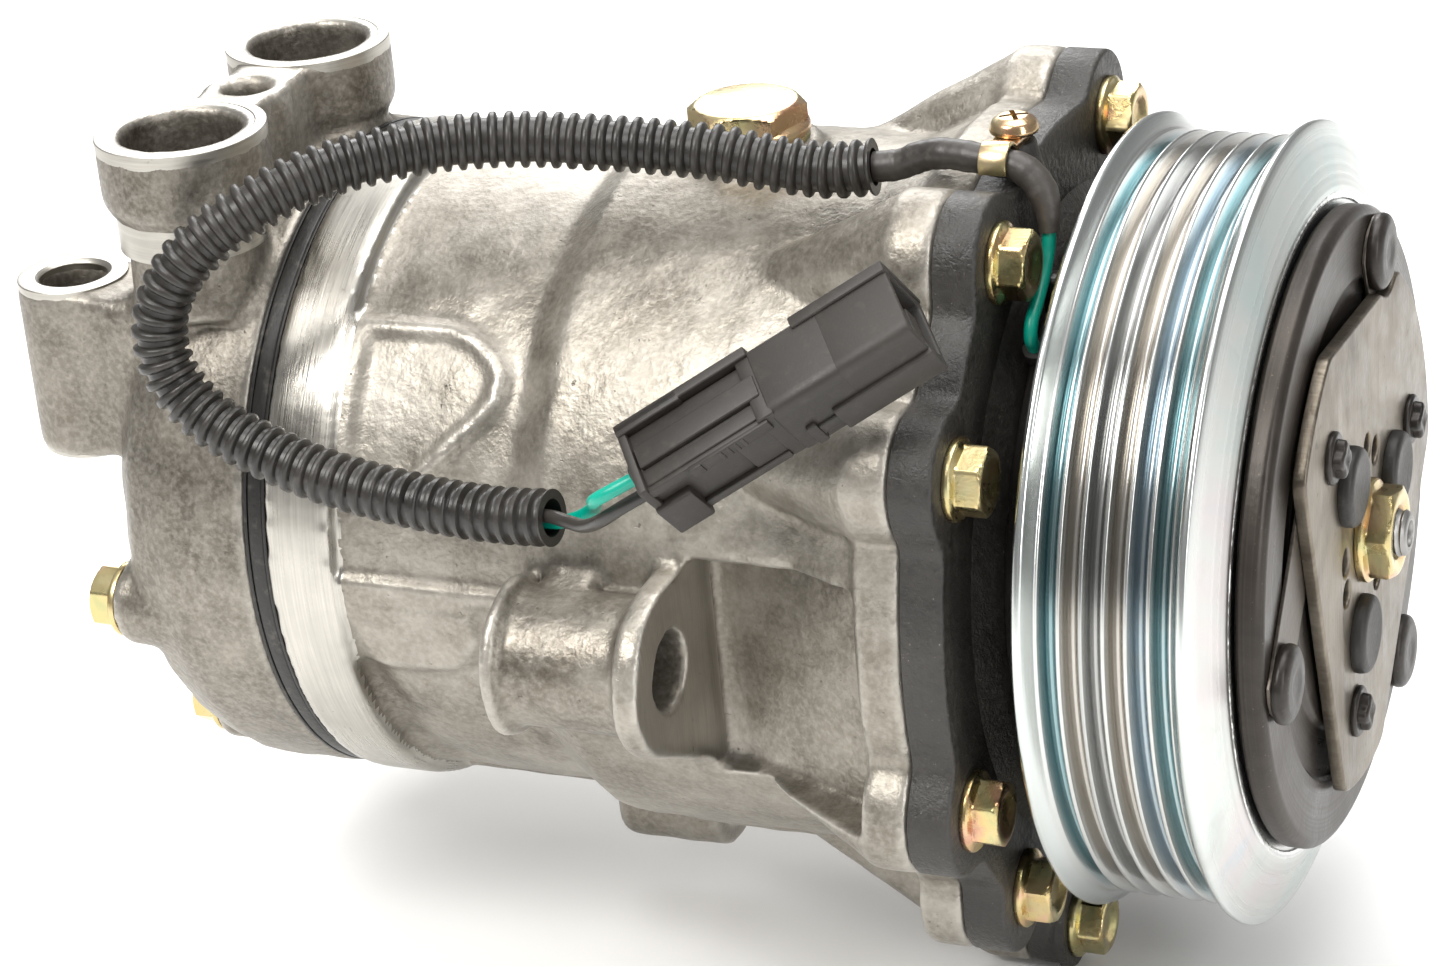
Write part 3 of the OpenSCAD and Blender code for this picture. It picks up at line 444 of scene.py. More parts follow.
def plate(loops, h0, h1, bev=0.3, axis="x", origin=(0, 0, 0), nb=3, bev0=None, frame3=None):
    e, u, w = frame3 or AX[axis]
    o = np.array(origin, float)
    Ls = []
    for i, L in enumerate(loops):
        L = np.asarray(L, float)
        a = area2(L)
        if (i == 0 and a < 0) or (i > 0 and a > 0): L = L[::-1]
        Ls.append(L)
    b0 = bev if bev0 is None else bev0
    lay = [(h0 + b0 * (1 - math.sin(t)), b0 * (1 - math.cos(t))) for t in np.linspace(math.pi / 2, 0, nb + 1)]
    lay = [(h0 + b0 * (1 - math.cos(t)), b0 * (1 - math.sin(t))) for t in np.linspace(0, math.pi / 2, nb + 1)] if b0 > 0 else [(h0, 0)]
    top = [(h1 - bev * (1 - math.cos(t)), bev * (1 - math.sin(t))) for t in np.linspace(math.pi / 2, 0, nb + 1)] if bev > 0 else [(h1, 0)]
    lay = lay + top
    verts, faces, base = [], [], []
    for h, d in lay:
        row = []
        for L in Ls:
            P = inset(L, d) if d > 0 else L
            row.append(len(verts))
            verts += list(o + e * h + P[:, :1] * u + P[:, 1:2] * w)
        base.append(row)
    for i in range(len(lay) - 1):
        for k, L in enumerate(Ls):
            a, b, n = base[i][k], base[i + 1][k], len(L)
            faces += [[a + j, a + (j + 1) % n, b + (j + 1) % n, b + j] for j in range(n)]
    for which, flip in ((0, True), (len(lay) - 1, False)):
        polys, idx = [], []
        for k, L in enumerate(Ls):
            P = inset(L, lay[which][1]) if lay[which][1] > 0 else L
            polys.append([Vector((p[0], p[1], 0)) for p in P])
            idx += [base[which][k] + j for j in range(len(L))]
        for t in geometry.tessellate_polygon(polys):
            f = [idx[q] for q in t]
            faces.append(f[::-1] if flip else f)
    return verts, faces


def circ(cx, cy, r, n=48, a0=0.0): t = np.linspace(0, 2 * math.pi, n, endpoint=False) + a0; return np.stack([cx + r * np.cos(t), cy + r * np.sin(t)], 1)
def pol(a, r): a = math.radians(a); return np.array([r * math.cos(a), r * math.sin(a)])     # plate coordinates: up, towards -Y
def at(x, a, r): a = math.radians(a); return (x, -r * math.sin(a), r * math.cos(a))


def smooth_path(P, step):
    """points of a centripetal spline through P, step apart"""
    P = np.asarray(P, float)
    Q = np.vstack([2 * P[0] - P[1], P, 2 * P[-1] - P[-2]])
    out = []
    for i in range(1, len(Q) - 2):
        p0, p1, p2, p3 = Q[i - 1:i + 3]
        t0 = 0; t1 = np.linalg.norm(p1 - p0) ** 0.5; t2 = t1 + np.linalg.norm(p2 - p1) ** 0.5; t3 = t2 + np.linalg.norm(p3 - p2) ** 0.5
        for t in np.linspace(t1, t2, 24, endpoint=False):
            A1 = (t1 - t) / (t1 - t0) * p0 + (t - t0) / (t1 - t0) * p1
            A2 = (t2 - t) / (t2 - t1) * p1 + (t - t1) / (t2 - t1) * p2
            A3 = (t3 - t) / (t3 - t2) * p2 + (t - t2) / (t3 - t2) * p3
            B1 = (t2 - t) / (t2 - t0) * A1 + (t - t0) / (t2 - t0) * A2
            B2 = (t3 - t) / (t3 - t1) * A2 + (t - t1) / (t3 - t1) * A3
            out.append((t2 - t) / (t2 - t1) * B1 + (t - t1) / (t2 - t1) * B2)
    out.append(P[-1])
    out = np.array(out)
    s = np.concatenate([[0], np.cumsum(np.linalg.norm(np.diff(out, axis=0), axis=1))])
    n = max(4, int(round(s[-1] / step)))
    q = np.linspace(0, s[-1], n + 1)
    return np.stack([np.interp(q, s, out[:, k]) for k in range(3)], 1), s[-1]


def tube(path, radius, seg=20, up=(0.1, 0.2, 1), flat=None, cap=True):
    """radius is a number or one value per point; flat = (width factor, height factor) per point"""
    P = np.asarray(path, float)
    n = len(P)
    r = np.full(n, radius, float) if np.isscalar(radius) else np.asarray(radius, float)
    T = np.gradient(P, axis=0); T /= np.linalg.norm(T, axis=1)[:, None]
    N = np.zeros_like(P); v = np.array(up, float)
    for i in range(n):
        v = v - np.dot(v, T[i]) * T[i]; v /= np.linalg.norm(v); N[i] = v
    W = np.cross(T, N)
    a = np.linspace(0, 2 * math.pi, seg, endpoint=False)
    fw = np.ones((n, 2)) if flat is None else np.asarray(flat, float)
    V = P[:, None] + (r * fw[:, 1])[:, None, None] * np.cos(a)[None, :, None] * N[:, None] + (r * fw[:, 0])[:, None, None] * np.sin(a)[None, :, None] * W[:, None]
    verts = list(V.reshape(-1, 3))
    faces = [[i * seg + j, i * seg + (j + 1) % seg, (i + 1) * seg + (j + 1) % seg, (i + 1) * seg + j] for i in range(n - 1) for j in range(seg)]
    if cap:
        verts += [P[0], P[-1]]
        c0, c1 = n * seg, n * seg + 1
        faces += [[c0, (j + 1) % seg, j] for j in range(seg)] + [[c1, (n - 1) * seg + j, (n - 1) * seg + (j + 1) % seg] for j in range(seg)]
    return verts, faces


def hexhead(h0, af, height, flange_r, flange_h, dish=True, seg=96, turn=0.0, shank=None, corner=0.985):
    """profile rows for a flange bolt head, pointing along the axis; gives the rows as (height, radii) pairs"""
    a0 = math.radians(turn)
    def hexr(ang): d = (ang + a0 + math.pi / 6) % (math.pi / 3) - math.pi / 6; return np.minimum(af / 2 / np.cos(d), af / math.sqrt(3) * corner)
    top = h0 + height
    rows = []
    if shank: rows += [(h0 - shank[1], 0, "c"), (h0 - shank[1], shank[0] - 0.4, "c"), (h0 - shank[1] + 0.4, shank[0], "c"), (h0, shank[0], "c")]
    else: rows += [(h0, 0, "c")]
    rows += [(h0, flange_r - 0.25, "c"), (h0 + 0.12, flange_r - 0.06, "c"), (h0 + 0.35, flange_r, "c"), (h0 + flange_h * 0.6, flange_r, "c"), (h0 + flange_h * 0.8, flange_r - 0.08, "c"), (h0 + flange_h, flange_r - 0.35, "c"),
             (h0 + flange_h + 0.25, af / 2 + 0.75, "m"), (h0 + flange_h + 0.45, 0, "h"), (h0 + flange_h + 0.75, 0, "h")]
    for q in (1.25, 0.95, 0.7, 0.45, 0.22, 0.08): rows.append((top - q, af / 2 * 0.955 + q * 1.75, "t"))
    rows += [(top, af / 2 * 0.925, "c")]
    if dish: rows += [(top, af / 2 * 0.76, "c"), (top - 0.12, af / 2 * 0.70, "c"), (top - 0.75, af / 2 * 0.52, "c"), (top - 0.95, af / 2 * 0.38, "c"), (top - 1.0, 0, "c")]
    else: rows += [(top, 0, "c")]
    ang = np.linspace(0, 2 * math.pi, seg, endpoint=False)
    H = hexr(ang)
    out = []
    for h, r, kind in rows:
        if kind == "c": out.append((h, np.full(seg, r)))
        elif kind == "h": out.append((h, H))
        elif kind == "m": out.append((h, np.maximum(H * 0.98, r * 0.5 + H * 0.5)))
        else: out.append((h, np.minimum(H, r)))
    return out


def rows_mesh(rows, frame3, origin):
    e, u, w = frame3
    o = np.array(origin, float)
    seg = len(rows[0][1]); ang = np.linspace(0, 2 * math.pi, seg, endpoint=False)
    verts, idx = [], []
    for h, r in rows:
        if np.max(r) < 1e-6: idx.append([len(verts)]); verts.append(o + e * h)
        else: idx.append(list(range(len(verts), len(verts) + seg))); verts += list(o + e * h + (np.cos(ang) * r)[:, None] * u + (np.sin(ang) * r)[:, None] * w)
    faces = []
    for a, b in zip(idx[:-1], idx[1:]):
        for j in range(seg):
            k = (j + 1) % seg
            if len(a) == 1: faces.append([a[0], b[j], b[k]])
            elif len(b) == 1: faces.append([a[j], b[0], a[k]])
            else: faces.append([a[j], b[j], b[k], a[k]])
    return verts, faces


def apply_mods(o):
    dg = bpy.context.evaluated_depsgraph_get()
    me = bpy.data.meshes.new_from_object(o.evaluated_get(dg))
    o.modifiers.clear()
    o.data = me
    return o


def boolean(o, verts, faces, op="DIFFERENCE"):
    c = bpy.data.objects.new("cutter", to_mesh("cutter", verts, faces))
    scene.collection.objects.link(c)
    m = o.modifiers.new("cut", "BOOLEAN"); m.operation = op; m.object = c; m.solver = "EXACT"
    apply_mods(o)
    bpy.data.objects.remove(c)
    return o


def box(x0, x1, y0, y1, z0, z1):
    v = [(x, y, z) for x in (x0, x1) for y in (y0, y1) for z in (z0, z1)]
    return v, [[0, 1, 3, 2], [4, 6, 7, 5], [0, 4, 5, 1], [2, 3, 7, 6], [0, 2, 6, 4], [1, 5, 7, 3]]

# ---------------------------------------------------------------- cords (points repeat the model's routes, in mm)
sleeve_route = [[51.2, -22.4, 57.6], [51, -22, 60], [50.4, -21.3, 62.6], [48.8, -20.6, 65.2], [46, -20, 67], [42.5, -19.8, 67.6], [38, -19.4, 68], [33, -18.6, 68], [29, -17.6, 66.9], [25, -17.4, 65.2], [21, -18, 64.8]]
conduit_route = [[21, -18, 64.8], [15, -18.9, 64.2], [9, -19.8, 64.6], [2.5, -21, 65.8], [-4, -22, 67.1], [-10.5, -23, 67.8], [-18, -24.5, 68.6], [-25.5, -26, 69.2], [-33, -28, 69.9], [-40.5, -31, 70.4], [-48, -35, 70.6], [-55, -40, 70.3], [-61.5, -45, 69.5], [-67, -50, 68], [-72, -54.5, 65.6], [-77, -58, 62.4], [-81.3, -60.8, 58.4], [-84.5, -62.6, 53.6], [-86.2, -63.6, 48.4], [-86, -64.2, 43.2], [-84, -64.6, 38.2], [-80.3, -65, 34.2], [-75.2, -65.4, 31], [-69, -65.8, 28.4], [-62.2, -66.2, 26.2], [-55, -66.6, 24.6], [-47, -67, 23.4], [-39, -67.4, 22.6], [-31, -67.8, 22.2], [-24, -68.2, 22.3], [-17, -68.6, 22.9]]
wire_g_route = [[-22, -67.6, 21.4], [-16.3, -67.4, 21.7], [-13, -67.6, 22.9], [-9, -70, 26], [-5.6, -76, 30], [-2.2, -82, 33.8], [3.7, -80.52, 37.12]]
wire_k_route = [[-22, -69.4, 23.4], [-16.3, -70.2, 23.9], [-12.5, -72, 24.2], [-8, -75.4, 25.6], [-3.6, -78.2, 28.4], [0.3, -78.8, 31.2], [4.6, -77.4, 33.7]]
lead_g_route = [[51.2, -22.4, 59.0], [51.2, -22.4, 57.4], [51.1, -23.2, 54.6], [51, -25.4, 51.6], [51, -29.2, 48.6], [51, -32.4, 46.4], [51, -33.2, 44], [51, -31.9, 41.9]]

# corrugated conduit
pitch = 2.6
cp, clen = smooth_path(conduit_route, pitch / 9)
s = np.linspace(0, clen, len(cp))
w = 0.5 + 0.5 * np.cos(2 * np.pi * s / pitch)
crest = np.clip((w - 0.30) / 0.42, 0, 1); crest = crest * crest * (3 - 2 * crest)
rad = 3.62 + 0.98 * crest
rad *= 1 + 0.006 * np.sin(s * 0.9) * np.sin(s * 0.23)
# open ends: turn the wall inwards
vo, fo = tube(cp, rad, 32, cap=False)
vi, fi = tube(cp, 3.05, 32, cap=False)
n = len(vo); seg = 32; m = len(cp)
faces = fo + [[a + n for a in f[::-1]] for f in fi]
faces += [[(j + 1) % seg, j, n + j, n + (j + 1) % seg] for j in range(seg)]
faces += [[(m - 1) * seg + j, (m - 1) * seg + (j + 1) % seg, n + (m - 1) * seg + (j + 1) % seg, n + (m - 1) * seg + j] for j in range(seg)]
conduit = Build().add(vo + vi, faces).obj("harness_conduit", "conduit", "housing", ["conduit"], sharp=60)

# coil lead sleeve, flattened under the clamp and shrunk over the wires at its end
sp_, slen = smooth_path(sleeve_route, 0.5)
q = np.linspace(0, slen, len(sp_))
r = np.full(len(sp_), 2.5)
endt = np.clip(q / 7.0, 0, 1)
r = 1.65 + 0.85 * endt * endt * (3 - 2 * endt)
r = r * (1 + 0.02 * np.sin(q * 1.3) + 0.015 * np.sin(q * 3.1 + 1))
dcl = np.abs(sp_[:, 0] - 42.5) + 1.2 * np.abs(sp_[:, 2] - 67.6)
fl = np.ones((len(sp_), 2)); fl[:, 1] = 1 - 0.05 * np.exp(-(dcl / 4) ** 2)
v, f = tube(sp_, r, 24, flat=fl)
sleeve = Build().add(v, f).obj("coil_lead_sleeve", "sleeve", "housing", ["lead_sleeve"], sharp=50)

def wire(name, route, mat, rep, rad=1.1, extra=None):
    p, L = smooth_path(route, 0.4)
    b = Build(); v, f = tube(p, rad, 16); b.add(v, f)
    if extra: b.add(*extra)
    return b.obj(name, mat, "housing", rep, sharp=50)

wire_green = wire("wire_green_end", wire_g_route, "green", ["wire_green"])
wire_black = wire("wire_black_end", wire_k_route, "blackwire", ["wire_black"])
lead_green = wire("coil_lead_green", lead_g_route, "green", ["lead_wire"])

# ---------------------------------------------------------------- connector
# frame: CX along the connector, CY out of its upper face, CZ out of its lower face
CX = np.array([0.80927, 0.31775, 0.49409]); CX /= np.linalg.norm(CX); CY = np.array([-0.18616, -0.65902, 0.72873]); CY -= CX * (CX @ CY); CY /= np.linalg.norm(CY); CZ = np.cross(CX, CY); CO = np.array([24.3, -71.05, 47.72])
CK = 24.2 / 28.25

def rbox(x0, x1, y0, y1, z0, z1, r=0.6, n=3, ends=None):
    """rounded box in the connector's frame, extruded along its own x"""
    def loop(r):
        pts = [(y0, z0, r), (y1, z0, r), (y1, z1, r), (y0, z1, r)]
        return fil(pts, True, n)
    v, f = plate([loop(r)], x0 * CK, x1 * CK, min(r * 0.6, 0.45) if ends is None else ends, frame3=(CX, CY, CZ), origin=CO, nb=2)
    return v, f

cb = Build()
# rear shell: body, end rim, rails and panels of the upper face
cb.add(*rbox(-27.4, 0.2, -5.3, 5.5, -5.3, 5.5, 0.8))
cb.add(*rbox(-28, -26.2, -6.1, 6.5, -6.5, 6.3, 0.7))
cb.add(*rbox(-27.9, -0.3, -5.0, 6.9, -7.15, -5.3, 0.45))      # rail along the far edge
cb.add(*rbox(-27.9, -14.5, 5.2, 6.9, -7.0, -4.9, 0.45))
cb.add(*rbox(-25.9, -0.8, 4.7, 6.55, -2.0, 2.1, 0.5))         # middle panel
cb.add(*rbox(-25.9, -0.8, 4.7, 5.95, 2.7, 5.3, 0.4))
cb.add(*rbox(-3.2, 0.2, -5.9, 6.2, -6.2, 6.1, 0.6))           # step to the front shell
# lower face: latch block, sunken panel between two rails
cb.add(*rbox(-28, -20.6, -6.5, 1.3, 4.2, 7.1, 0.6))
cb.add(*rbox(-20.8, -3.0, -5.4, -3.7, 4.9, 6.4, 0.4))
cb.add(*rbox(-26.4, -3.0, 3.6, 5.6, 4.9, 6.2, 0.45))
cb.add(*rbox(-9.5, -3.0, -3.9, 3.8, 4.9, 6.0, 0.4))
conn_body = cb.obj("connector_rear_shell", "connector", "housing", sharp=28)
# front shell, hollow
cf = Build()
outer = fil([(-6.35, -6.35, 1.2), (6.35, -6.35, 1.0), (6.35, 6.35, 2.3), (-6.35, 6.35, 1.2)], True, 6)
inner = fil([(-4.9, -4.9, 0.7), (4.9, -4.9, 0.7), (4.9, 4.9, 1.0), (-4.9, 4.9, 0.7)], True, 4)
cf.add(*plate([outer, inner], 11.4, 24.2, 0.45, frame3=(CX, CY, CZ), origin=CO))
cf.add(*plate([outer], -0.5, 12.0, 0.45, frame3=(CX, CY, CZ), origin=CO))
cf.add(*rbox(9.0, 28.4, 4.6, 6.95, -7.15, -5.0, 0.5))         # tab along the far edge
cf.add(*rbox(9.0, 13.0, -4.0, 6.6, -7.15, -5.6, 0.5))
cf.add(*rbox(8.0, 28.4, -5.9, -0.2, 5.7, 7.25, 0.55))         # step of the lower face
cf.add(*rbox(2.2, 8.6, -4.2, -1.8, 5.9, 6.9, 0.4))
cf.add(*rbox(2.2, 4.2, -5.4, -0.6, 5.9, 7.2, 0.4))
cf.add(*rbox(26.6, 28.5, -6.2, 6.2, -6.9, -6.0, 0.35))
cf.add(*rbox(17, 27, -3.9, -0.7, -2.8, 2.8, 0.3)); cf.add(*rbox(17, 27, 0.7, 3.9, -2.8, 2.8, 0.3))   # terminal towers
conn_front = cf.obj("connector_front_shell", "connector", "housing", sharp=28)
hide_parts("connector_body")
# lock tab
cl = Build()
cl.add(*rbox(-18, -1.5, 3.3, 5.7, 5.9, 6.7, 0.3)); cl.add(*rbox(-18, -15.6, 3.4, 5.6, 6.3, 6.9, 0.25))
for i in range(4): cl.add(*rbox(-12 + i * 1.5, -11.3 + i * 1.5, 3.5, 5.5, 6.5, 6.85, 0.2))
conn_lock = cl.obj("connector_lock_tab", "connector", "housing", ["connector_lock"], sharp=28)
# wire seals
cs = Build()
for y in (2.35, -2.35):
    prof = fil([(-24.95, 0), (-24.95, 1.9, .2), (-24.6, 2.25, .2), (-24.2, 1.9, .2), (-23.8, 2.25, .2), (-23.4, 2.25), (-23.4, 0)], False)
    cs.add(*lathe(prof, 40, closed=False, frame3=(CX, CY, CZ), origin=CO + CY * y))
conn_seal = cs.obj("connector_wire_seals", "rubber", "housing", ["connector_seal"], sharp=40)

# ---------------------------------------------------------------- castings
def cast_copy(name, node, voxel, iters, mats, body, shape=None, keep=None):
    """a smoothed copy of a casting, with its fillets, from the model's own mesh"""
    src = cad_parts[node]
    me = src.data.copy()
    me.transform(src.matrix_world)
    o = bpy.data.objects.new(name, me)
    scene.collection.objects.link(o)
    m = o.modifiers.new("r", "REMESH"); m.mode = "VOXEL"; m.voxel_size = voxel * MM; m.adaptivity = 0
    apply_mods(o)
    me = o.data
    n = len(me.vertices)
    co = np.empty(n * 3); me.vertices.foreach_get("co", co); co = co.reshape(-1, 3) * 1000
    ne = len(me.edges); ed = np.empty(ne * 2, int); me.edges.foreach_get("vertices", ed); ed = ed.reshape(-1, 2)
    deg = np.bincount(ed.ravel(), minlength=n).astype(float)[:, None]
    wk = np.ones(n) if keep is None else keep(co)
    for it in range(iters):
        for lam in (0.62, -0.30 if it % 2 else 0.0):
            if lam == 0: continue
            acc = np.zeros_like(co)
            for k in range(3):
                acc[:, k] = np.bincount(ed[:, 0], co[ed[:, 1], k], n) + np.bincount(ed[:, 1], co[ed[:, 0], k], n)
            co = co + lam * wk[:, None] * (acc / deg - co)
    if shape is not None:
        me.vertices.foreach_set("co", (co * MM).ravel()); me.update()
        nr = np.empty(n * 3); me.vertices.foreach_get("normal", nr); nr = nr.reshape(-1, 3)
        co = shape(co, nr)
        for _ in range(2):
            acc = np.zeros_like(co)
            for k in range(3):
                acc[:, k] = np.bincount(ed[:, 0], co[ed[:, 1], k], n) + np.bincount(ed[:, 1], co[ed[:, 0], k], n)
            co = co + 0.5 * wk[:, None] * (acc / deg - co)
    me.vertices.foreach_set("co", (co * MM).ravel()); me.update()
    me.materials.clear()
    bpy.data.objects.remove(o)
    return finish_obj(name, me, mats, body, [node], sharp=None), co


def sm(x, a, b): t = np.clip((x - a) / (b - a), 0, 1); return t * t * (3 - 2 * t)


def poly_in(P, X, S):
    """distance inside (positive) or outside a closed outline, mm"""
    P = np.asarray(P, float); Q = np.roll(P, -1, 0)
    d = np.full(len(X), 1e9); ins = np.zeros(len(X), bool)
    for (x0, y0), (x1, y1) in zip(P, Q):
        ex, ey = x1 - x0, y1 - y0
        t = np.clip(((X - x0) * ex + (S - y0) * ey) / (ex * ex + ey * ey + 1e-9), 0, 1)
        d = np.minimum(d, np.hypot(X - x0 - t * ex, S - y0 - t * ey))
        if abs(ey) > 1e-9:
            c = ((y0 > S) != (y1 > S)) & (X < (S - y0) * ex / ey + x0)
            ins ^= c
    return np.where(ins, d, -d)


def lumps(co, k, amp):
    """slow waviness of a cast skin"""
    x, y, z = co.T
    v = np.sin(x * 0.21 * k + 1.1) * np.sin(y * 0.17 * k + 0.4) * np.sin(z * 0.19 * k + 2.0)
    v = v + 0.6 * np.sin(x * 0.43 * k + y * 0.31 * k) * np.sin(z * 0.37 * k - x * 0.22 * k + 0.7)
    v = v + 0.4 * np.sin(x * 0.83 * k - z * 0.57 * k + 0.3) * np.sin(y * 0.71 * k + 1.9)
    return v * amp


BOSS = [(-63.2, 43.9), (-45.9, 43.6), (-40.5, 45.5), (-37, 48.4), (-35.1, 51.6), (-35.4, 56.4), (-38, 60), (-45.4, 67.4), (-50, 72), (-63.2, 72)]
PAD = [(-63.2, 92.6), (-40.3, 93), (-39.8, 98.7), (-42, 103), (-45.3, 104.8), (-63.2, 106.6)]
CHAN = [(-65.5, 100), (-62.9, 108.5), (-60.9, 119.2), (-61.8, 130), (-57.0, 141)]


def shape_crank(co, nr):
    x, y, z = co.T
    R = np.hypot(y, z); a = np.degrees(np.arctan2(-y, z))
    rad = np.clip((nr[:, 1] * y + nr[:, 2] * z) / np.maximum(R, 1e-6), 0, 1)
    skin = sm(rad, 0.35, 0.8) * sm(R, 52.5, 54.5) * (1 - sm(R, 60.5, 62)) * sm(x, -64.5, -63.5) * (1 - sm(x, -31, -28))
    S = np.radians(a) * 56.5
    d1 = poly_in([(px_, math.radians(pa) * 56.5) for px_, pa in BOSS], x, S)
    d2 = poly_in([(px_, math.radians(pa) * 56.5) for px_, pa in PAD], x, S)
    h = -0.95 * sm(d1, 1.7, 3.4) + 0.25 * sm(d1, -0.4, 0.6) * (1 - sm(d1, 0.9, 2.0))
    h = h - 0.35 * sm(d2, 2.0, 3.6)
    ch = np.full(len(x), 1e9)
    for (x0, a0), (x1, a1) in zip(CHAN[:-1], CHAN[1:]):
        p0 = np.array([x0, math.radians(a0) * 56.5]); p1 = np.array([x1, math.radians(a1) * 56.5]); e = p1 - p0
        t = np.clip(((x - p0[0]) * e[0] + (S - p0[1]) * e[1]) / (e @ e), 0, 1)
        ch = np.minimum(ch, np.hypot(x - p0[0] - t * e[0], S - p0[1] - t * e[1]))
    h = h - 1.7 * np.exp(-(ch / 4.2) ** 2)
    g = np.exp(-((a - 88.6) / 0.75) ** 2)
    h = h + 0.35 * g
    out = co + (nr * (h * skin)[:, None])
    # soft waviness everywhere but on the machined ring, the joint face and the bores
    wv = sm(x, -62, -58) * (1 - sm(x, 28, 31)) * sm(R, 53.5, 55)
    return out + nr * (lumps(co, 1.0, 0.16) * wv)[:, None]


def shape_rear(co, nr):
    x, y, z = co.T
    R = np.hypot(y, z)
    wv = (1 - sm(x, -86, -82)) * (1 - sm(z, 58, 61)) * np.where((x < -112.5) & (y < -22) & (z > 8), 0.0, 1.0)
    h = lumps(co, 1.1, 0.22)
    return co + nr * (h * wv)[:, None]


crank, cco = cast_copy("crankcase_casting", "crankcase_housing", 0.85, 4, ["cast", "mach_x", "mach_f"], "housing", shape=shape_crank)
rear, rco = cast_copy("rear_head_casting", "rear_head", 0.95, 5, ["cast_dark", "mach_z", "mach_f"], "housing", shape=shape_rear)
def tint(o, rule):
    me = o.data; n = len(me.polygons)
    c = np.empty(n * 3); me.polygons.foreach_get("center", c); c = c.reshape(-1, 3) * 1000
    nn = np.empty(n * 3); me.polygons.foreach_get("normal", nn); nn = nn.reshape(-1, 3)
    me.polygons.foreach_set("material_index", rule(c, nn).astype(np.int32))
    me.polygons.foreach_set("use_smooth", np.ones(n, bool)); me.update()
def rule_crank(c, nn):
    R = np.hypot(c[:, 1], c[:, 2])
    i = np.zeros(len(c), int)
    i[(c[:, 0] < -63.2) & (R > 55.8)] = 1
    i[(np.abs(c[:, 0]) < 0.8) & (nn[:, 0] > 0.9) & (c[:, 1] < -44)] = 2
    return i
def rule_rear(c, nn):
    i = np.zeros(len(c), int)
    i[(c[:, 2] > 70.6) & (nn[:, 2] > 0.85)] = 1
    return i
tint(crank, rule_crank); tint(rear, rule_rear)

# ---------------------------------------------------------------- machined collars and faces
ports = Build()
for y in (-36.5, 8.7):
    prof = fil([(66.5, 14.15), (71.55, 14.45, 0.35), (71.55, 12.5, 0.15), (70.2, 10.6, 0.2), (56.5, 10.1, 0.2), (56.5, 5.2, 0.2), (52, 5.0), (52, 12.6), (66.5, 12.6)], True, 3)
    ports.add(*lathe(prof, 128, axis="z", origin=(-94, y, 0)))
ports.obj("port_seats", "mach_z", "housing", sharp=35)
lug = Build()
lug.add(*lathe(fil([(39.5, 9.3), (42.75, 9.62, 0.3), (42.75, 6.6, 0.15), (42.1, 5.85, 0.1), (13.2, 5.8), (12.1, 6.2, 0.1), (11.95, 9.3, 0.3), (15, 9.2), (15, 6.6), (39.5, 6.6)], True, 3), 96, axis="z", origin=(-121, -34, 0)))
lug.obj("rear_lug_seat", "mach_z", "housing", sharp=35)

# ---------------------------------------------------------------- gasket stack between block and rear head
g = Build()
HBA = (104, 155.4, 206.9, 258.3, 309.7, 1.1)
holes = [circ(*pol(a, 49), 3.6, 24) for a in HBA]
for x in (-80.5, -77.1): g.add(*plate([circ(0, 0, 57.35, 180), circ(0, 0, 26, 64)], x, x + 0.6, 0.15))
g.obj("head_gasket_pair", "gasket", "housing", ["head_gaskets"], sharp=35)
vp = Build(); vp.add(*plate([circ(0, 0, 57.25, 180)] , -79.9, -77.1, 0.4)); vp.obj("valve_plate_disc", "gasket", "housing", ["valve_plate"], sharp=35)

# ---------------------------------------------------------------- front housing
FB = [(-22, 64.5), (30, 64.5), (62, 64.5), (114, 64.5), (145, 64.5), (171, 74.5), (205, 64.5), (238, 64.5), (272, 64.5), (305, 64.5)]
def flange_outline(grow=0.0, ear=11.0, base=67.0, n=1440, blur=1.3):
    th = np.linspace(0, 360, n, endpoint=False)
    Rr = np.full(n, base + grow)
    for a, rb in FB:
        d = np.radians((th - a + 180) % 360 - 180)
        e = (8.3 if rb > 70 else ear) + grow
        s_ = rb * np.sin(d)
        okc = (np.abs(s_) < e) & (np.abs(d) < 1.2)
        Rr = np.where(okc, np.maximum(Rr, rb * np.cos(d) + np.sqrt(np.maximum(e * e - s_ * s_, 0))), Rr)
        hw = (8.3 if rb > 70 else ear) * 0.98 + grow
        okr = np.abs(d) < 0.5
        rr = np.minimum(rb / np.maximum(np.cos(d), 0.2), hw / np.maximum(np.abs(np.sin(d)), 1e-6))
        Rr = np.where(okr & (rb > 70), np.maximum(Rr, rr), Rr)
    k = np.exp(-0.5 * ((np.arange(-40, 41) * 360 / n) / blur) ** 2); k /= k.sum()
    sm_ = np.convolve(np.concatenate([Rr[-40:], Rr, Rr[:40]]), k, "valid")
    Rr = np.maximum(sm_, np.minimum(Rr, sm_ + 0.0))
    t = np.radians(th)
    return np.stack([Rr * np.cos(t), Rr * np.sin(t)], 1)

fh = Build()
bolt_holes = [circ(*pol(a, rb), 3.35, 32) for a, rb in FB]
fh.add(*plate([flange_outline(), circ(0, 0, 48.0, 240)] + bolt_holes, 39.0, 46.0, 0.75, bev0=0.15))
fh.add(*lathe(fil([(45.0, 56), (45.6, 54.6, 0.4), (46.05, 54.0, 0.3), (48.9, 50.2, 0.5), (50.0, 48.2, 0.5), (50.0, 21.5, 0.8), (51.5, 20.05, 0.5), (59.5, 20, 0.6), (60.2, 17.5, 0.3), (84.6, 17.45, 0.3), (85, 17.0, 0.2), (85, 13.6), (78, 13.5), (50, 13.5), (46, 20), (44, 44), (44.5, 56)], True, 3), 200))
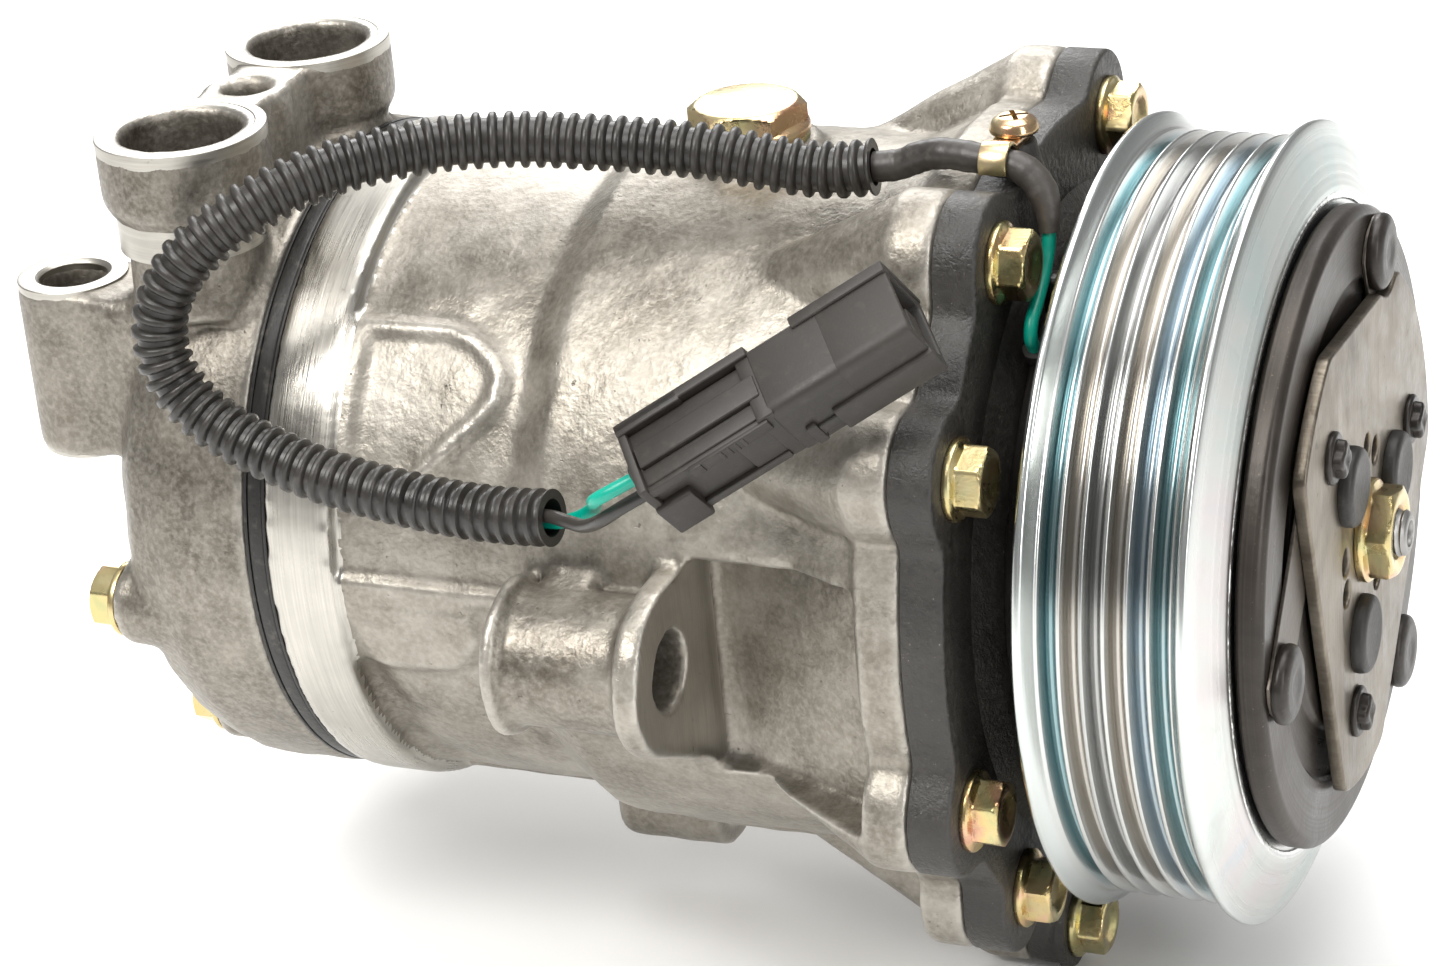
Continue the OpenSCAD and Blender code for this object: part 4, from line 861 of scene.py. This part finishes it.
# bolt bosses on the flange face
for a, rb in FB:
    fh.add(*lathe(fil([(44.5, 3.4), (44.5, 8.6), (45.9, 8.4), (46.02, 8.0, 0.2), (46.02, 3.4)], True, 2), 64, origin=at(0, a, rb)))
# boss for the lead clamp
fh.add(*lathe(fil([(60, 2.2), (60, 5.6), (64.5, 4.2, 0.8), (67.8, 3.45, 0.3), (68.35, 3.2, 0.2), (68.35, 2.2)], True, 3), 48, axis="z", origin=(42.5, -11.5, 0)))
front = fh.obj("front_housing_painted", "paint", "housing", ["front_housing"], sharp=40)

# ---------------------------------------------------------------- bolts
FX = (np.array([1., 0, 0]), np.array([0., 0, 1]), np.array([0., -1, 0]))
BX = (np.array([-1., 0, 0]), np.array([0., 0, 1]), np.array([0., 1, 0]))
fb = Build()
for i, (a, rb) in enumerate(FB):
    fb.add(*rows_mesh(hexhead(0, 10, 5.8, 6.6, 1.35, turn=a * 3 + 17 * i, shank=(2.95, 15)), FX, at(46, a, rb)))
fb.obj("flange_bolt_set", "yzinc", "housing", ["front_housing_bolts"], sharp=28)
hb = Build()
for i, a in enumerate(HBA):
    hb.add(*rows_mesh(hexhead(0, 10, 5.8, 6.6, 1.35, turn=a * 2 + 11 * i, shank=(2.95, 45)), BX, at(-110.5, a, 49)))
hb.obj("head_bolt_set", "yzinc", "housing", ["head_bolts"], sharp=28)
ZX = (np.array([0., 0, 1]), np.array([1., 0, 0]), np.array([0., 1, 0]))
op = Build(); op.add(*rows_mesh(hexhead(0, 17.6, 5.4, 10.4, 1.5, turn=14, shank=(6.9, 9), dish=False, corner=1.0, seg=144), ZX, (-8, 0, 62.6)))
op.obj("oil_filler_plug", "yzinc_plug", "housing", ["oil_plug"], sharp=28)

# lead clamp: strap over the sleeve, foot under the screw
lc = Build()
ang = np.radians(np.linspace(-205, 20, 30))
def strap(x0, x1):
    ro, ri = 3.35, 2.62
    c = np.array([-19.8, 67.6])
    top = [c + ro * np.array([math.cos(t), math.sin(t)]) for t in np.radians(np.linspace(200, 62, 26))]
    foot_t = [np.array([-17.2, 69.72]), np.array([-7.75, 69.72])]
    foot_b = [np.array([-7.75, 68.42]), np.array([-17.0, 68.42])]
    bot = [c + ri * np.array([math.cos(t), math.sin(t)]) for t in np.radians(np.linspace(20, 200, 26))]
    loop = np.array([[p[0], p[1]] for p in top + foot_t + foot_b + bot])
    return plate([loop], x0, x1, 0.18, frame3=(np.array([1., 0, 0]), np.array([0., 1, 0]), np.array([0., 0, 1])), nb=2)
lc.add(*strap(40.2, 44.8))
clamp = lc.obj("lead_clamp_strap", "yzinc_plug", "housing", ["lead_clamp"], sharp=30)
# pan head screw with a cross recess
sc = Build()
def crossr(h, r, ang): return np.full_like(ang, r)
sc.add(*lathe(fil([(60.5, 0), (60.5, 2.15), (69.75, 2.15), (69.75, 3.9, 0.2), (70.35, 3.98, 0.2), (71.6, 3.6, 0.5), (72.4, 2.4, 0.4), (72.5, 0)], False, 4), 64, axis="z", origin=(42.5, -11.5, 0), closed=False))
screw = sc.obj("clamp_screw_pan", "yzinc_plug", "housing", ["clamp_screw"], sharp=30)
for t in (0.5, 0.5 + math.pi / 2):
    c, s_ = math.cos(t), math.sin(t)
    v, f = box(-2.3, 2.3, -0.42, 0.42, 71.15, 73.5)
    v = [(42.5 + x * c - y * s_, -11.5 + x * s_ + y * c, z) for x, y, z in v]
    boolean(screw, v, f)
screw.data.shade_smooth(); screw.data.set_sharp_from_angle(angle=math.radians(30))

# ---------------------------------------------------------------- coil
cc = Build()
cc.add(*lathe(fil([(50, 20.1), (50, 50.0, 0.5), (53.0, 50.6, 0.3), (53.0, 55.0, 0.8), (55.0, 55.3, 0.4), (78.4, 55.3, 0.4), (79, 54.7, 0.3), (79, 50.6, 0.2), (56, 50.5), (56, 36.5), (79, 36.4, 0.2), (79, 31, 0.3), (53.1, 30.7), (53.1, 20.1)], True, 3), 200))
t = math.radians(20)
fy = (np.array([1., 0, 0]), np.array([0., -math.cos(t), -math.sin(t)]), np.array([0., -math.sin(t), math.cos(t)]))
cc.add(*plate([fil([(-9, 40, .5), (9, 40, .5), (9, 51.4, 1.5), (6, 52.4, 1), (-6, 52.4, 1), (-9, 51.4, 1.5)], True, 4)], 50.05, 53.15, 0.4, frame3=(np.array([1., 0, 0]), np.array([0., -math.cos(-t), -math.sin(-t)]) * 1.0, np.array([0., -math.sin(t), math.cos(t)]))))
cc.obj("coil_shell", "coilcase", "housing", ["coil_housing"], sharp=35)

# ---------------------------------------------------------------- pulley
P = [(60.5, 26.0, .3), (60.5, 30.0, .3), (80.0, 30.0, .3), (80.0, 56.0, .6), (57.0, 56.0, .3), (56.6, 56.4, .2), (56.05, 57.0, .2), (56.0, 64.4, .5), (56.35, 65.5, .35), (57.0, 65.8, .3), (57.7, 65.6, .3), (58.6, 64.2, .5), (59.2, 63.15, .35)]
for i in range(6):
    gx = 70 + (i - 2.5) * 3.56
    P += [(gx - 1.52, 63.0, .22), (gx - 0.42, 60.3, .35), (gx + 0.42, 60.3, .35), (gx + 1.52, 63.0, .22)]
P += [(80.75, 63.05, .3), (81.3, 63.9, .5), (82.2, 65.5, .4), (82.8, 65.8, .25), (83.5, 65.7, .3), (83.9, 64.9, .4), (84.45, 63.3, .5), (86.5, 57.0, .6), (87.1, 55.2, .4), (87.2, 54.3, .15), (87.2, 53.5, .15), (86.8, 53.15, .1), (86.8, 31.0, .3), (86.0, 30.0, .2), (86.0, 26.0, .2)]
pu = Build(); pu.add(*lathe(fil(P, True, 4), 256)); pulley = pu.obj("pulley_turned", "pulley", "pulley_body", ["pulley"], sharp=35)
# crimped lip round the rotor face
lip = Build()
th = np.linspace(0, 2 * math.pi, 720, endpoint=False)
def liprow(h, r, amp, ph): return (h, r + amp * np.sign(np.sin(th * 120 + ph)) * 0.0 + amp * rng.normal(0, 1, 720))
rows = [(86.9, np.full(720, 53.25)), liprow(87.25, 53.35, 0.03, 0), liprow(87.34, 53.75, 0.05, 1), liprow(87.30, 54.25, 0.05, 2), liprow(87.1, 54.7, 0.03, 3), (86.9, np.full(720, 54.9))]
v, idx = [], []
e, u_, w_ = AX["x"]
for h, r in rows: idx.append(list(range(len(v), len(v) + 720))); v += list(e * h + (np.cos(th) * r)[:, None] * u_ + (np.sin(th) * r)[:, None] * w_)
f = [[a[j], b[j], b[(j + 1) % 720], a[(j + 1) % 720]] for a, b in zip(idx, idx[1:] + idx[:1]) for j in range(720)]
lip.add(v, f)
MAT["lip"] = steel("lip_bright", (0.72, 0.73, 0.72), 0.22)
lip.obj("rotor_lip", "lip", "pulley_body", sharp=20)

# ---------------------------------------------------------------- armature
ar = Build()
ar.add(*lathe(fil([(87.3, 13.5, .2), (87.3, 51.7, .3), (88.0, 52.5, .3), (90.6, 52.5, .4), (91.3, 52.0, .5), (91.9, 51.0, .4), (91.9, 41.4, .3), (91.0, 40.6, .3), (91.0, 33.0, .3), (91.9, 32.1, .3), (91.9, 13.5, .2)], True, 4), 220))
arm = ar.obj("armature_disc", "arm", "armature", ["armature_plate"], sharp=None)
for k in range(3):
    a0, a1 = math.radians(25 + 120 * k), math.radians(25 + 120 * k + 44)
    a0, a1 = math.radians(205 - 43 - 112 + 120 * k), math.radians(205 - 43 - 112 + 120 * k + 44)
    t = np.linspace(a0, a1, 24)
    rc, hw = 37.2, 2.2
    outer = [(math.cos(q) * (rc + hw), math.sin(q) * (rc + hw)) for q in t]
    c1 = np.array([math.cos(a1), math.sin(a1)]) * rc
    e1 = [tuple(c1 + hw * np.array([math.cos(a1 + p), math.sin(a1 + p)])) for p in np.linspace(0, math.pi, 12)[1:-1]]
    inner_ = [(math.cos(q) * (rc - hw), math.sin(q) * (rc - hw)) for q in t[::-1]]
    c0 = np.array([math.cos(a0), math.sin(a0)]) * rc
    e0 = [tuple(c0 + hw * np.array([math.cos(a0 + p), math.sin(a0 + p)])) for p in np.linspace(math.pi, 2 * math.pi, 12)[1:-1]]
    v, f = plate([np.array(outer + e1 + inner_ + e0)], 86, 93, 0.0)
    boolean(arm, v, f)
arm.data.shade_smooth(); arm.data.set_sharp_from_angle(angle=math.radians(35))

# ---------------------------------------------------------------- hub group
HR, AR = (43, 163, 283), (97, 217, 337)
def clip(poly, ang, dist):
    nrm = np.array([math.cos(math.radians(ang)), math.sin(math.radians(ang))])
    out = []
    for i in range(len(poly)):
        a, b = poly[i], poly[(i + 1) % len(poly)]
        da, db = a @ nrm - dist, b @ nrm - dist
        if da <= 0: out.append(a)
        if (da < 0) != (db < 0): out.append(a + (b - a) * da / (da - db))
    return np.array(out)

def roundoff(poly, r, thr=8, seg=7):
    """rounds the sharp corners of a finely sampled loop"""
    n = len(poly)
    d = np.roll(poly, -1, 0) - poly; L = np.linalg.norm(d, axis=1); keep = L > 1e-6
    poly = poly[keep]; n = len(poly)
    d = np.roll(poly, -1, 0) - poly
    t = np.degrees(np.arctan2(d[:, 1], d[:, 0])); turn = (t - np.roll(t, 1) + 180) % 360 - 180
    corners = [i for i in range(n) if abs(turn[i]) > thr]
    drop, arcs = set(), {}
    for c in corners:
        cut = r * math.tan(math.radians(abs(turn[c]) / 2))
        acc, i = 0, c
        while acc < cut:
            j = (i - 1) % n; s_ = np.linalg.norm(poly[i] - poly[j]); 
            if acc + s_ >= cut: p0 = poly[i] + (poly[j] - poly[i]) * (cut - acc) / s_; break
            acc += s_; drop.add(i); i = j
        drop.add(i)if i == c else drop.add(i)
        i0 = i
        acc, i = 0, c
        while acc < cut:
            j = (i + 1) % n; s_ = np.linalg.norm(poly[i] - poly[j])
            if acc + s_ >= cut: p1 = poly[i] + (poly[j] - poly[i]) * (cut - acc) / s_; break
            acc += s_; drop.add(i); i = j
        drop.add(i)
        q = np.linspace(0, 1, seg + 1)[:, None]
        arcs[c] = (1 - q) ** 2 * p0 + 2 * q * (1 - q) * poly[c] + q * q * p1
    out = []
    for i in range(n):
        if i in arcs: out += list(arcs[i])
        elif i not in drop: out.append(poly[i])
    return np.array(out)

hub = circ(0, 0, 43.2, 360)
for a_, d_ in ((107, 27.5), (-4, 37), (229, 34)): hub = clip(hub, a_, d_)
hub = roundoff(hub, 3.4)
# clear the armature rivets
def notch(poly, c, r):
    d = np.linalg.norm(poly - c, axis=1)
    dense = []
    for i in range(len(poly)):
        a, b = poly[i], poly[(i + 1) % len(poly)]
        m_ = max(1, int(np.linalg.norm(b - a) / 0.6))
        dense += [a + (b - a) * j / m_ for j in range(m_)]
    poly = np.array(dense); v_ = poly - c; d = np.linalg.norm(v_, axis=1)
    push = d < r
    poly[push] = c + v_[push] / d[push][:, None] * r
    return poly
for a_ in AR: hub = notch(hub, pol(a_, 45), 7.2)
# even out the loop
def resample(poly, step):
    Q = np.vstack([poly, poly[:1]]); s_ = np.concatenate([[0], np.cumsum(np.linalg.norm(np.diff(Q, axis=0), axis=1))])
    n = int(s_[-1] / step); q = np.linspace(0, s_[-1], n, endpoint=False)
    return np.stack([np.interp(q, s_, Q[:, k]) for k in range(2)], 1)
hub = resample(hub, 0.7)
for _ in range(3): hub = 0.5 * hub + 0.25 * (np.roll(hub, 1, 0) + np.roll(hub, -1, 0))
holes = [circ(*pol(a + 46, 13), 2.3, 32) for a in HR] + [circ(*pol(a + 70, 14), 2.3, 32) for a in HR]
hp = Build()
hp.add(*plate([hub] + holes + [circ(0, 0, 4.6, 48)], 92.6, 94.8, 0.55, nb=4, bev0=0.2))
hp.add(*lathe(fil([(86.9, 7.1, .2), (86.9, 11.0, .3), (92.7, 11.0), (92.7, 7.1)], True, 2), 96))
hubo = hp.obj("hub_plate_pressed", "hub", "shaft_body", ["hub_plate"], sharp=30)

lf = Build()
for k in range(3):
    pa, pb = pol(HR[k], 30), pol(AR[k], 45)
    d = (pb - pa) / np.linalg.norm(pb - pa); n_ = np.array([-d[1], d[0]])
    a0 = math.atan2(d[1], d[0])
    loop = [pa + 6.2 * np.array([math.cos(a0 + q), math.sin(a0 + q)]) for q in np.linspace(math.pi / 2, 3 * math.pi / 2, 18)]
    end = pb + d * 4.2
    loop += [end - n_ * 6.2 + d * -1.6, end - n_ * 4.6, end + d * 1.2 - n_ * 2.0, end + d * 1.2 + n_ * 2.0, end + n_ * 4.6, end + n_ * 6.2 + d * -1.6]
    lf.add(*plate([np.array(loop)], 91.95, 92.55, 0.12, nb=1))
lf.obj("leaf_spring_set", "spring", "armature", ["leaf_springs"], sharp=30)

st = Build()
for a_ in HR:
    o_ = at(0, a_ - 2, 17)
    st.add(*lathe(fil([(92.0, 0), (92.0, 4.1), (94.8, 4.1), (94.8, 6.55, .15), (95.6, 6.6, .3), (96.75, 6.35, .5), (97.18, 5.4, .4), (97.05, 3.6, .4), (96.85, 0)], False, 4), 64, origin=o_, closed=False))
st.obj("rubber_stopper_set", "rubber", "shaft_body", ["hub_stoppers"], sharp=30)

rv = Build()
for a_ in HR:
    o_ = at(0, a_, 30)
    rv.add(*lathe(fil([(92.0, 0), (92.0, 2.2), (94.8, 2.2), (94.8, 4.25, .1), (95.4, 4.3, .2), (95.8, 3.9, .2), (95.85, 0)], False, 3), 48, origin=o_, closed=False))
    fun = lambda h, r, ang: r * (1 + 0.17 * np.cos(4 * ang + 0.6) * (1 if r > 1.2 else 0.3))
    rv.add(*lathe(fil([(95.6, 0), (95.6, 2.75), (97.1, 2.65, .3), (97.45, 2.0, .3), (97.25, 1.1, .2), (96.9, 0)], False, 3), 64, origin=o_, closed=False, fun=fun))
rv.obj("hub_rivet_set", "darkrivet", "shaft_body", ["hub_rivets"], sharp=35)

av = Build()
for a_ in AR:
    o_ = at(0, a_, 45)
    av.add(*lathe(fil([(87.7, 0), (87.7, 2.6), (92.55, 2.6), (92.55, 6.15, .2), (93.4, 6.4, .3), (94.4, 6.15, .6), (95.05, 4.9, .5), (95.1, 3.0, .5), (94.8, 1.6, .3), (94.72, 0)], False, 4), 64, origin=o_, closed=False))
av.obj("armature_rivet_set", "darkrivet", "armature", ["armature_rivets"], sharp=35)

nut = Build()
rows = hexhead(0, 14.0, 5.6, 8.6, 1.4, turn=12, dish=False, corner=1.0, seg=96)
rows = [(h, r) for h, r in rows if np.max(r) > 1e-6]
rows = [(0, np.full(96, 4.05))] + rows + [(5.6, np.full(96, 5.4)), (5.2, np.full(96, 4.5)), (4.6, np.full(96, 4.05))]
v, f = rows_mesh(rows + [rows[0]], FX, (94.8, 0, 0))
nut.add(v, f)
nut.obj("hub_flange_nut", "yzinc", "shaft_body", ["hub_nut"], sharp=28)

# shaft with its threaded end
sh = Build()
sh.add(*lathe(fil([(-40, 0), (-40, 5.6), (-39.6, 6.0), (-32, 6.0), (-31.8, 8.4), (76.5, 8.45), (76.8, 7.0), (92.2, 7.0, .2), (92.3, 3.9), (92.3, 0)], False, 2), 96, closed=False))
na, nh, pt = 48, 100, 1.25
H = np.linspace(92.0, 101.7, nh); A = np.linspace(0, 2 * math.pi, na, endpoint=False)
v = []
for h in H:
    ph = (h / pt - A / (2 * math.pi)) % 1
    dep = 0.36 * (1 - np.abs(2 * ph - 1)) ** 0.8
    r_ = 3.97 - dep * min(1, (101.7 - h) / 0.8 + 0.15)
    r_ = np.minimum(r_, 3.97 - max(0, h - 101.0) * 0.75)
    v += [(h, -r * math.sin(a), r * math.cos(a)) for a, r in zip(A, r_)]
f = [[i * na + j, i * na + (j + 1) % na, (i + 1) * na + (j + 1) % na, (i + 1) * na + j] for i in range(nh - 1) for j in range(na)]
c0 = len(v); v.append((92.0, 0, 0)); f += [[c0, (j + 1) % na, j] for j in range(na)]
base = (nh - 1) * na
ring = []
for h, r_ in ((101.98, 3.0), (101.98, 2.25), (101.7, 2.05), (99.2, 2.0), (98.9, 1.2)):
    ring.append(list(range(len(v), len(v) + na))); v += [(h, -r_ * math.sin(a), r_ * math.cos(a)) for a in A]
prev = list(range(base, base + na))
for rr in ring: f += [[prev[j], prev[(j + 1) % na], rr[(j + 1) % na], rr[j]] for j in range(na)]; prev = rr
c1 = len(v); v.append((98.8, 0, 0)); f += [[c1, prev[j], prev[(j + 1) % na]] for j in range(na)]
sh.add(v, f)
sh.obj("shaft_turned", "dullsteel", "shaft_body", ["shaft"], sharp=35)

# ---------------------------------------------------------------- carried-over model parts
CARRY = {"case_o_ring": "rubber", "discharge_reeds": "steel", "suction_reeds": "steel", "oil_plug_washer": "brass", "pistons": "steel", "piston_rings": "dullsteel",
         "connecting_rods": "steel", "radial_bearing": "steel", "thrust_race": "steel", "shaft_seal": "rubber", "seal_snap_ring": "dullsteel", "coil_winding": "copper", "coil_snap_ring": "dullsteel",
         "lead_grommet": "rubber", "bearing_inner_race": "steel", "bearing_snap_ring": "dullsteel", "bearing_outer_race": "steel", "bearing_balls": "steel", "bearing_seals": "rubber",
         "pulley_snap_ring": "dullsteel", "shaft_key": "dullsteel", "cam_rotor": "dullsteel", "planet_plate": "steel", "air_gap_shims": "steel"}
for nme, mm in CARRY.items():
    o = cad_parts[nme]
    for sl in (o.material_slots or []): sl.link = "OBJECT"; sl.material = MAT[mm]
    if not o.material_slots: o.data.materials.append(MAT[mm])
    bv = o.modifiers.new("edge", "BEVEL"); bv.width = 0.00012; bv.segments = 1; bv.limit_method = "ANGLE"; bv.angle_limit = math.radians(50)

# ---------------------------------------------------------------- floor and light
lo1, hi1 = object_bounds()
fz = lo1.z - 0.0003
bm = bmesh.new(); bmesh.ops.create_grid(bm, x_segments=2, y_segments=2, size=4.0)
fme = bpy.data.meshes.new("floor"); bm.to_mesh(fme); bm.free()
floor = bpy.data.objects.new("floor", fme); floor.location = (0, 0, fz); scene.collection.objects.link(floor)
k = Mat("studio_floor", (0.93, 0.93, 0.925), 0.7, 0.0)
k.color(k.mix(k.rng(k.noise(3, 2), 0.3, 0.7), (0.93, 0.93, 0.925), (0.95, 0.95, 0.945)))
floor.data.materials.append(k.m)

wd = bpy.data.worlds.new("studio"); scene.world = wd; wd.use_nodes = True
nt = wd.node_tree; bg = next(n for n in nt.nodes if n.type == "BACKGROUND")
tc = nt.nodes.new("ShaderNodeTexCoord"); sx = nt.nodes.new("ShaderNodeSeparateXYZ"); nt.links.new(tc.outputs["Generated"], sx.inputs[0])
cr = nt.nodes.new("ShaderNodeValToRGB"); nt.links.new(sx.outputs[2], cr.inputs[0])
for _ in range(2): cr.color_ramp.elements.new(0.5)
for e, (p_, c_) in zip(cr.color_ramp.elements, [(0.0, 0.55), (0.12, 0.42), (0.45, 0.50), (1.0, 0.95)]): e.position = p_; e.color = (c_, c_ * 0.995, c_ * 0.985, 1)
nt.links.new(cr.outputs[0], bg.inputs[0]); bg.inputs[1].default_value = 0.8

def area(name, loc, target, size, power, col=(1, 1, 1), sy=None):
    l = bpy.data.lights.new(name, "AREA"); l.energy = power; l.color = col; l.size = size
    if sy: l.shape = "RECTANGLE"; l.size_y = sy
    o = bpy.data.objects.new(name, l); o.location = loc
    o.rotation_mode = "QUATERNION"; o.rotation_quaternion = (Vector(target) - Vector(loc)).to_track_quat("-Z", "Y")
    scene.collection.objects.link(o)
area("key_soft", (-0.35, -0.75, 0.95), (0, 0, 0), 0.55, 14, (1, 0.985, 0.96), 0.55)
area("top_soft", (0.10, 0.15, 1.15), (0, 0, 0), 0.9, 13, (1, 0.99, 0.98), 0.9)
area("front_strip", (1.05, -0.55, 0.45), (0.05, 0, 0), 0.25, 5.5, (1, 1, 1), 0.9)
area("back_rim", (-0.5, 0.95, 0.7), (0, 0, 0), 0.7, 9, (1, 1, 1), 0.7)
scene.view_settings.view_transform = "Standard"
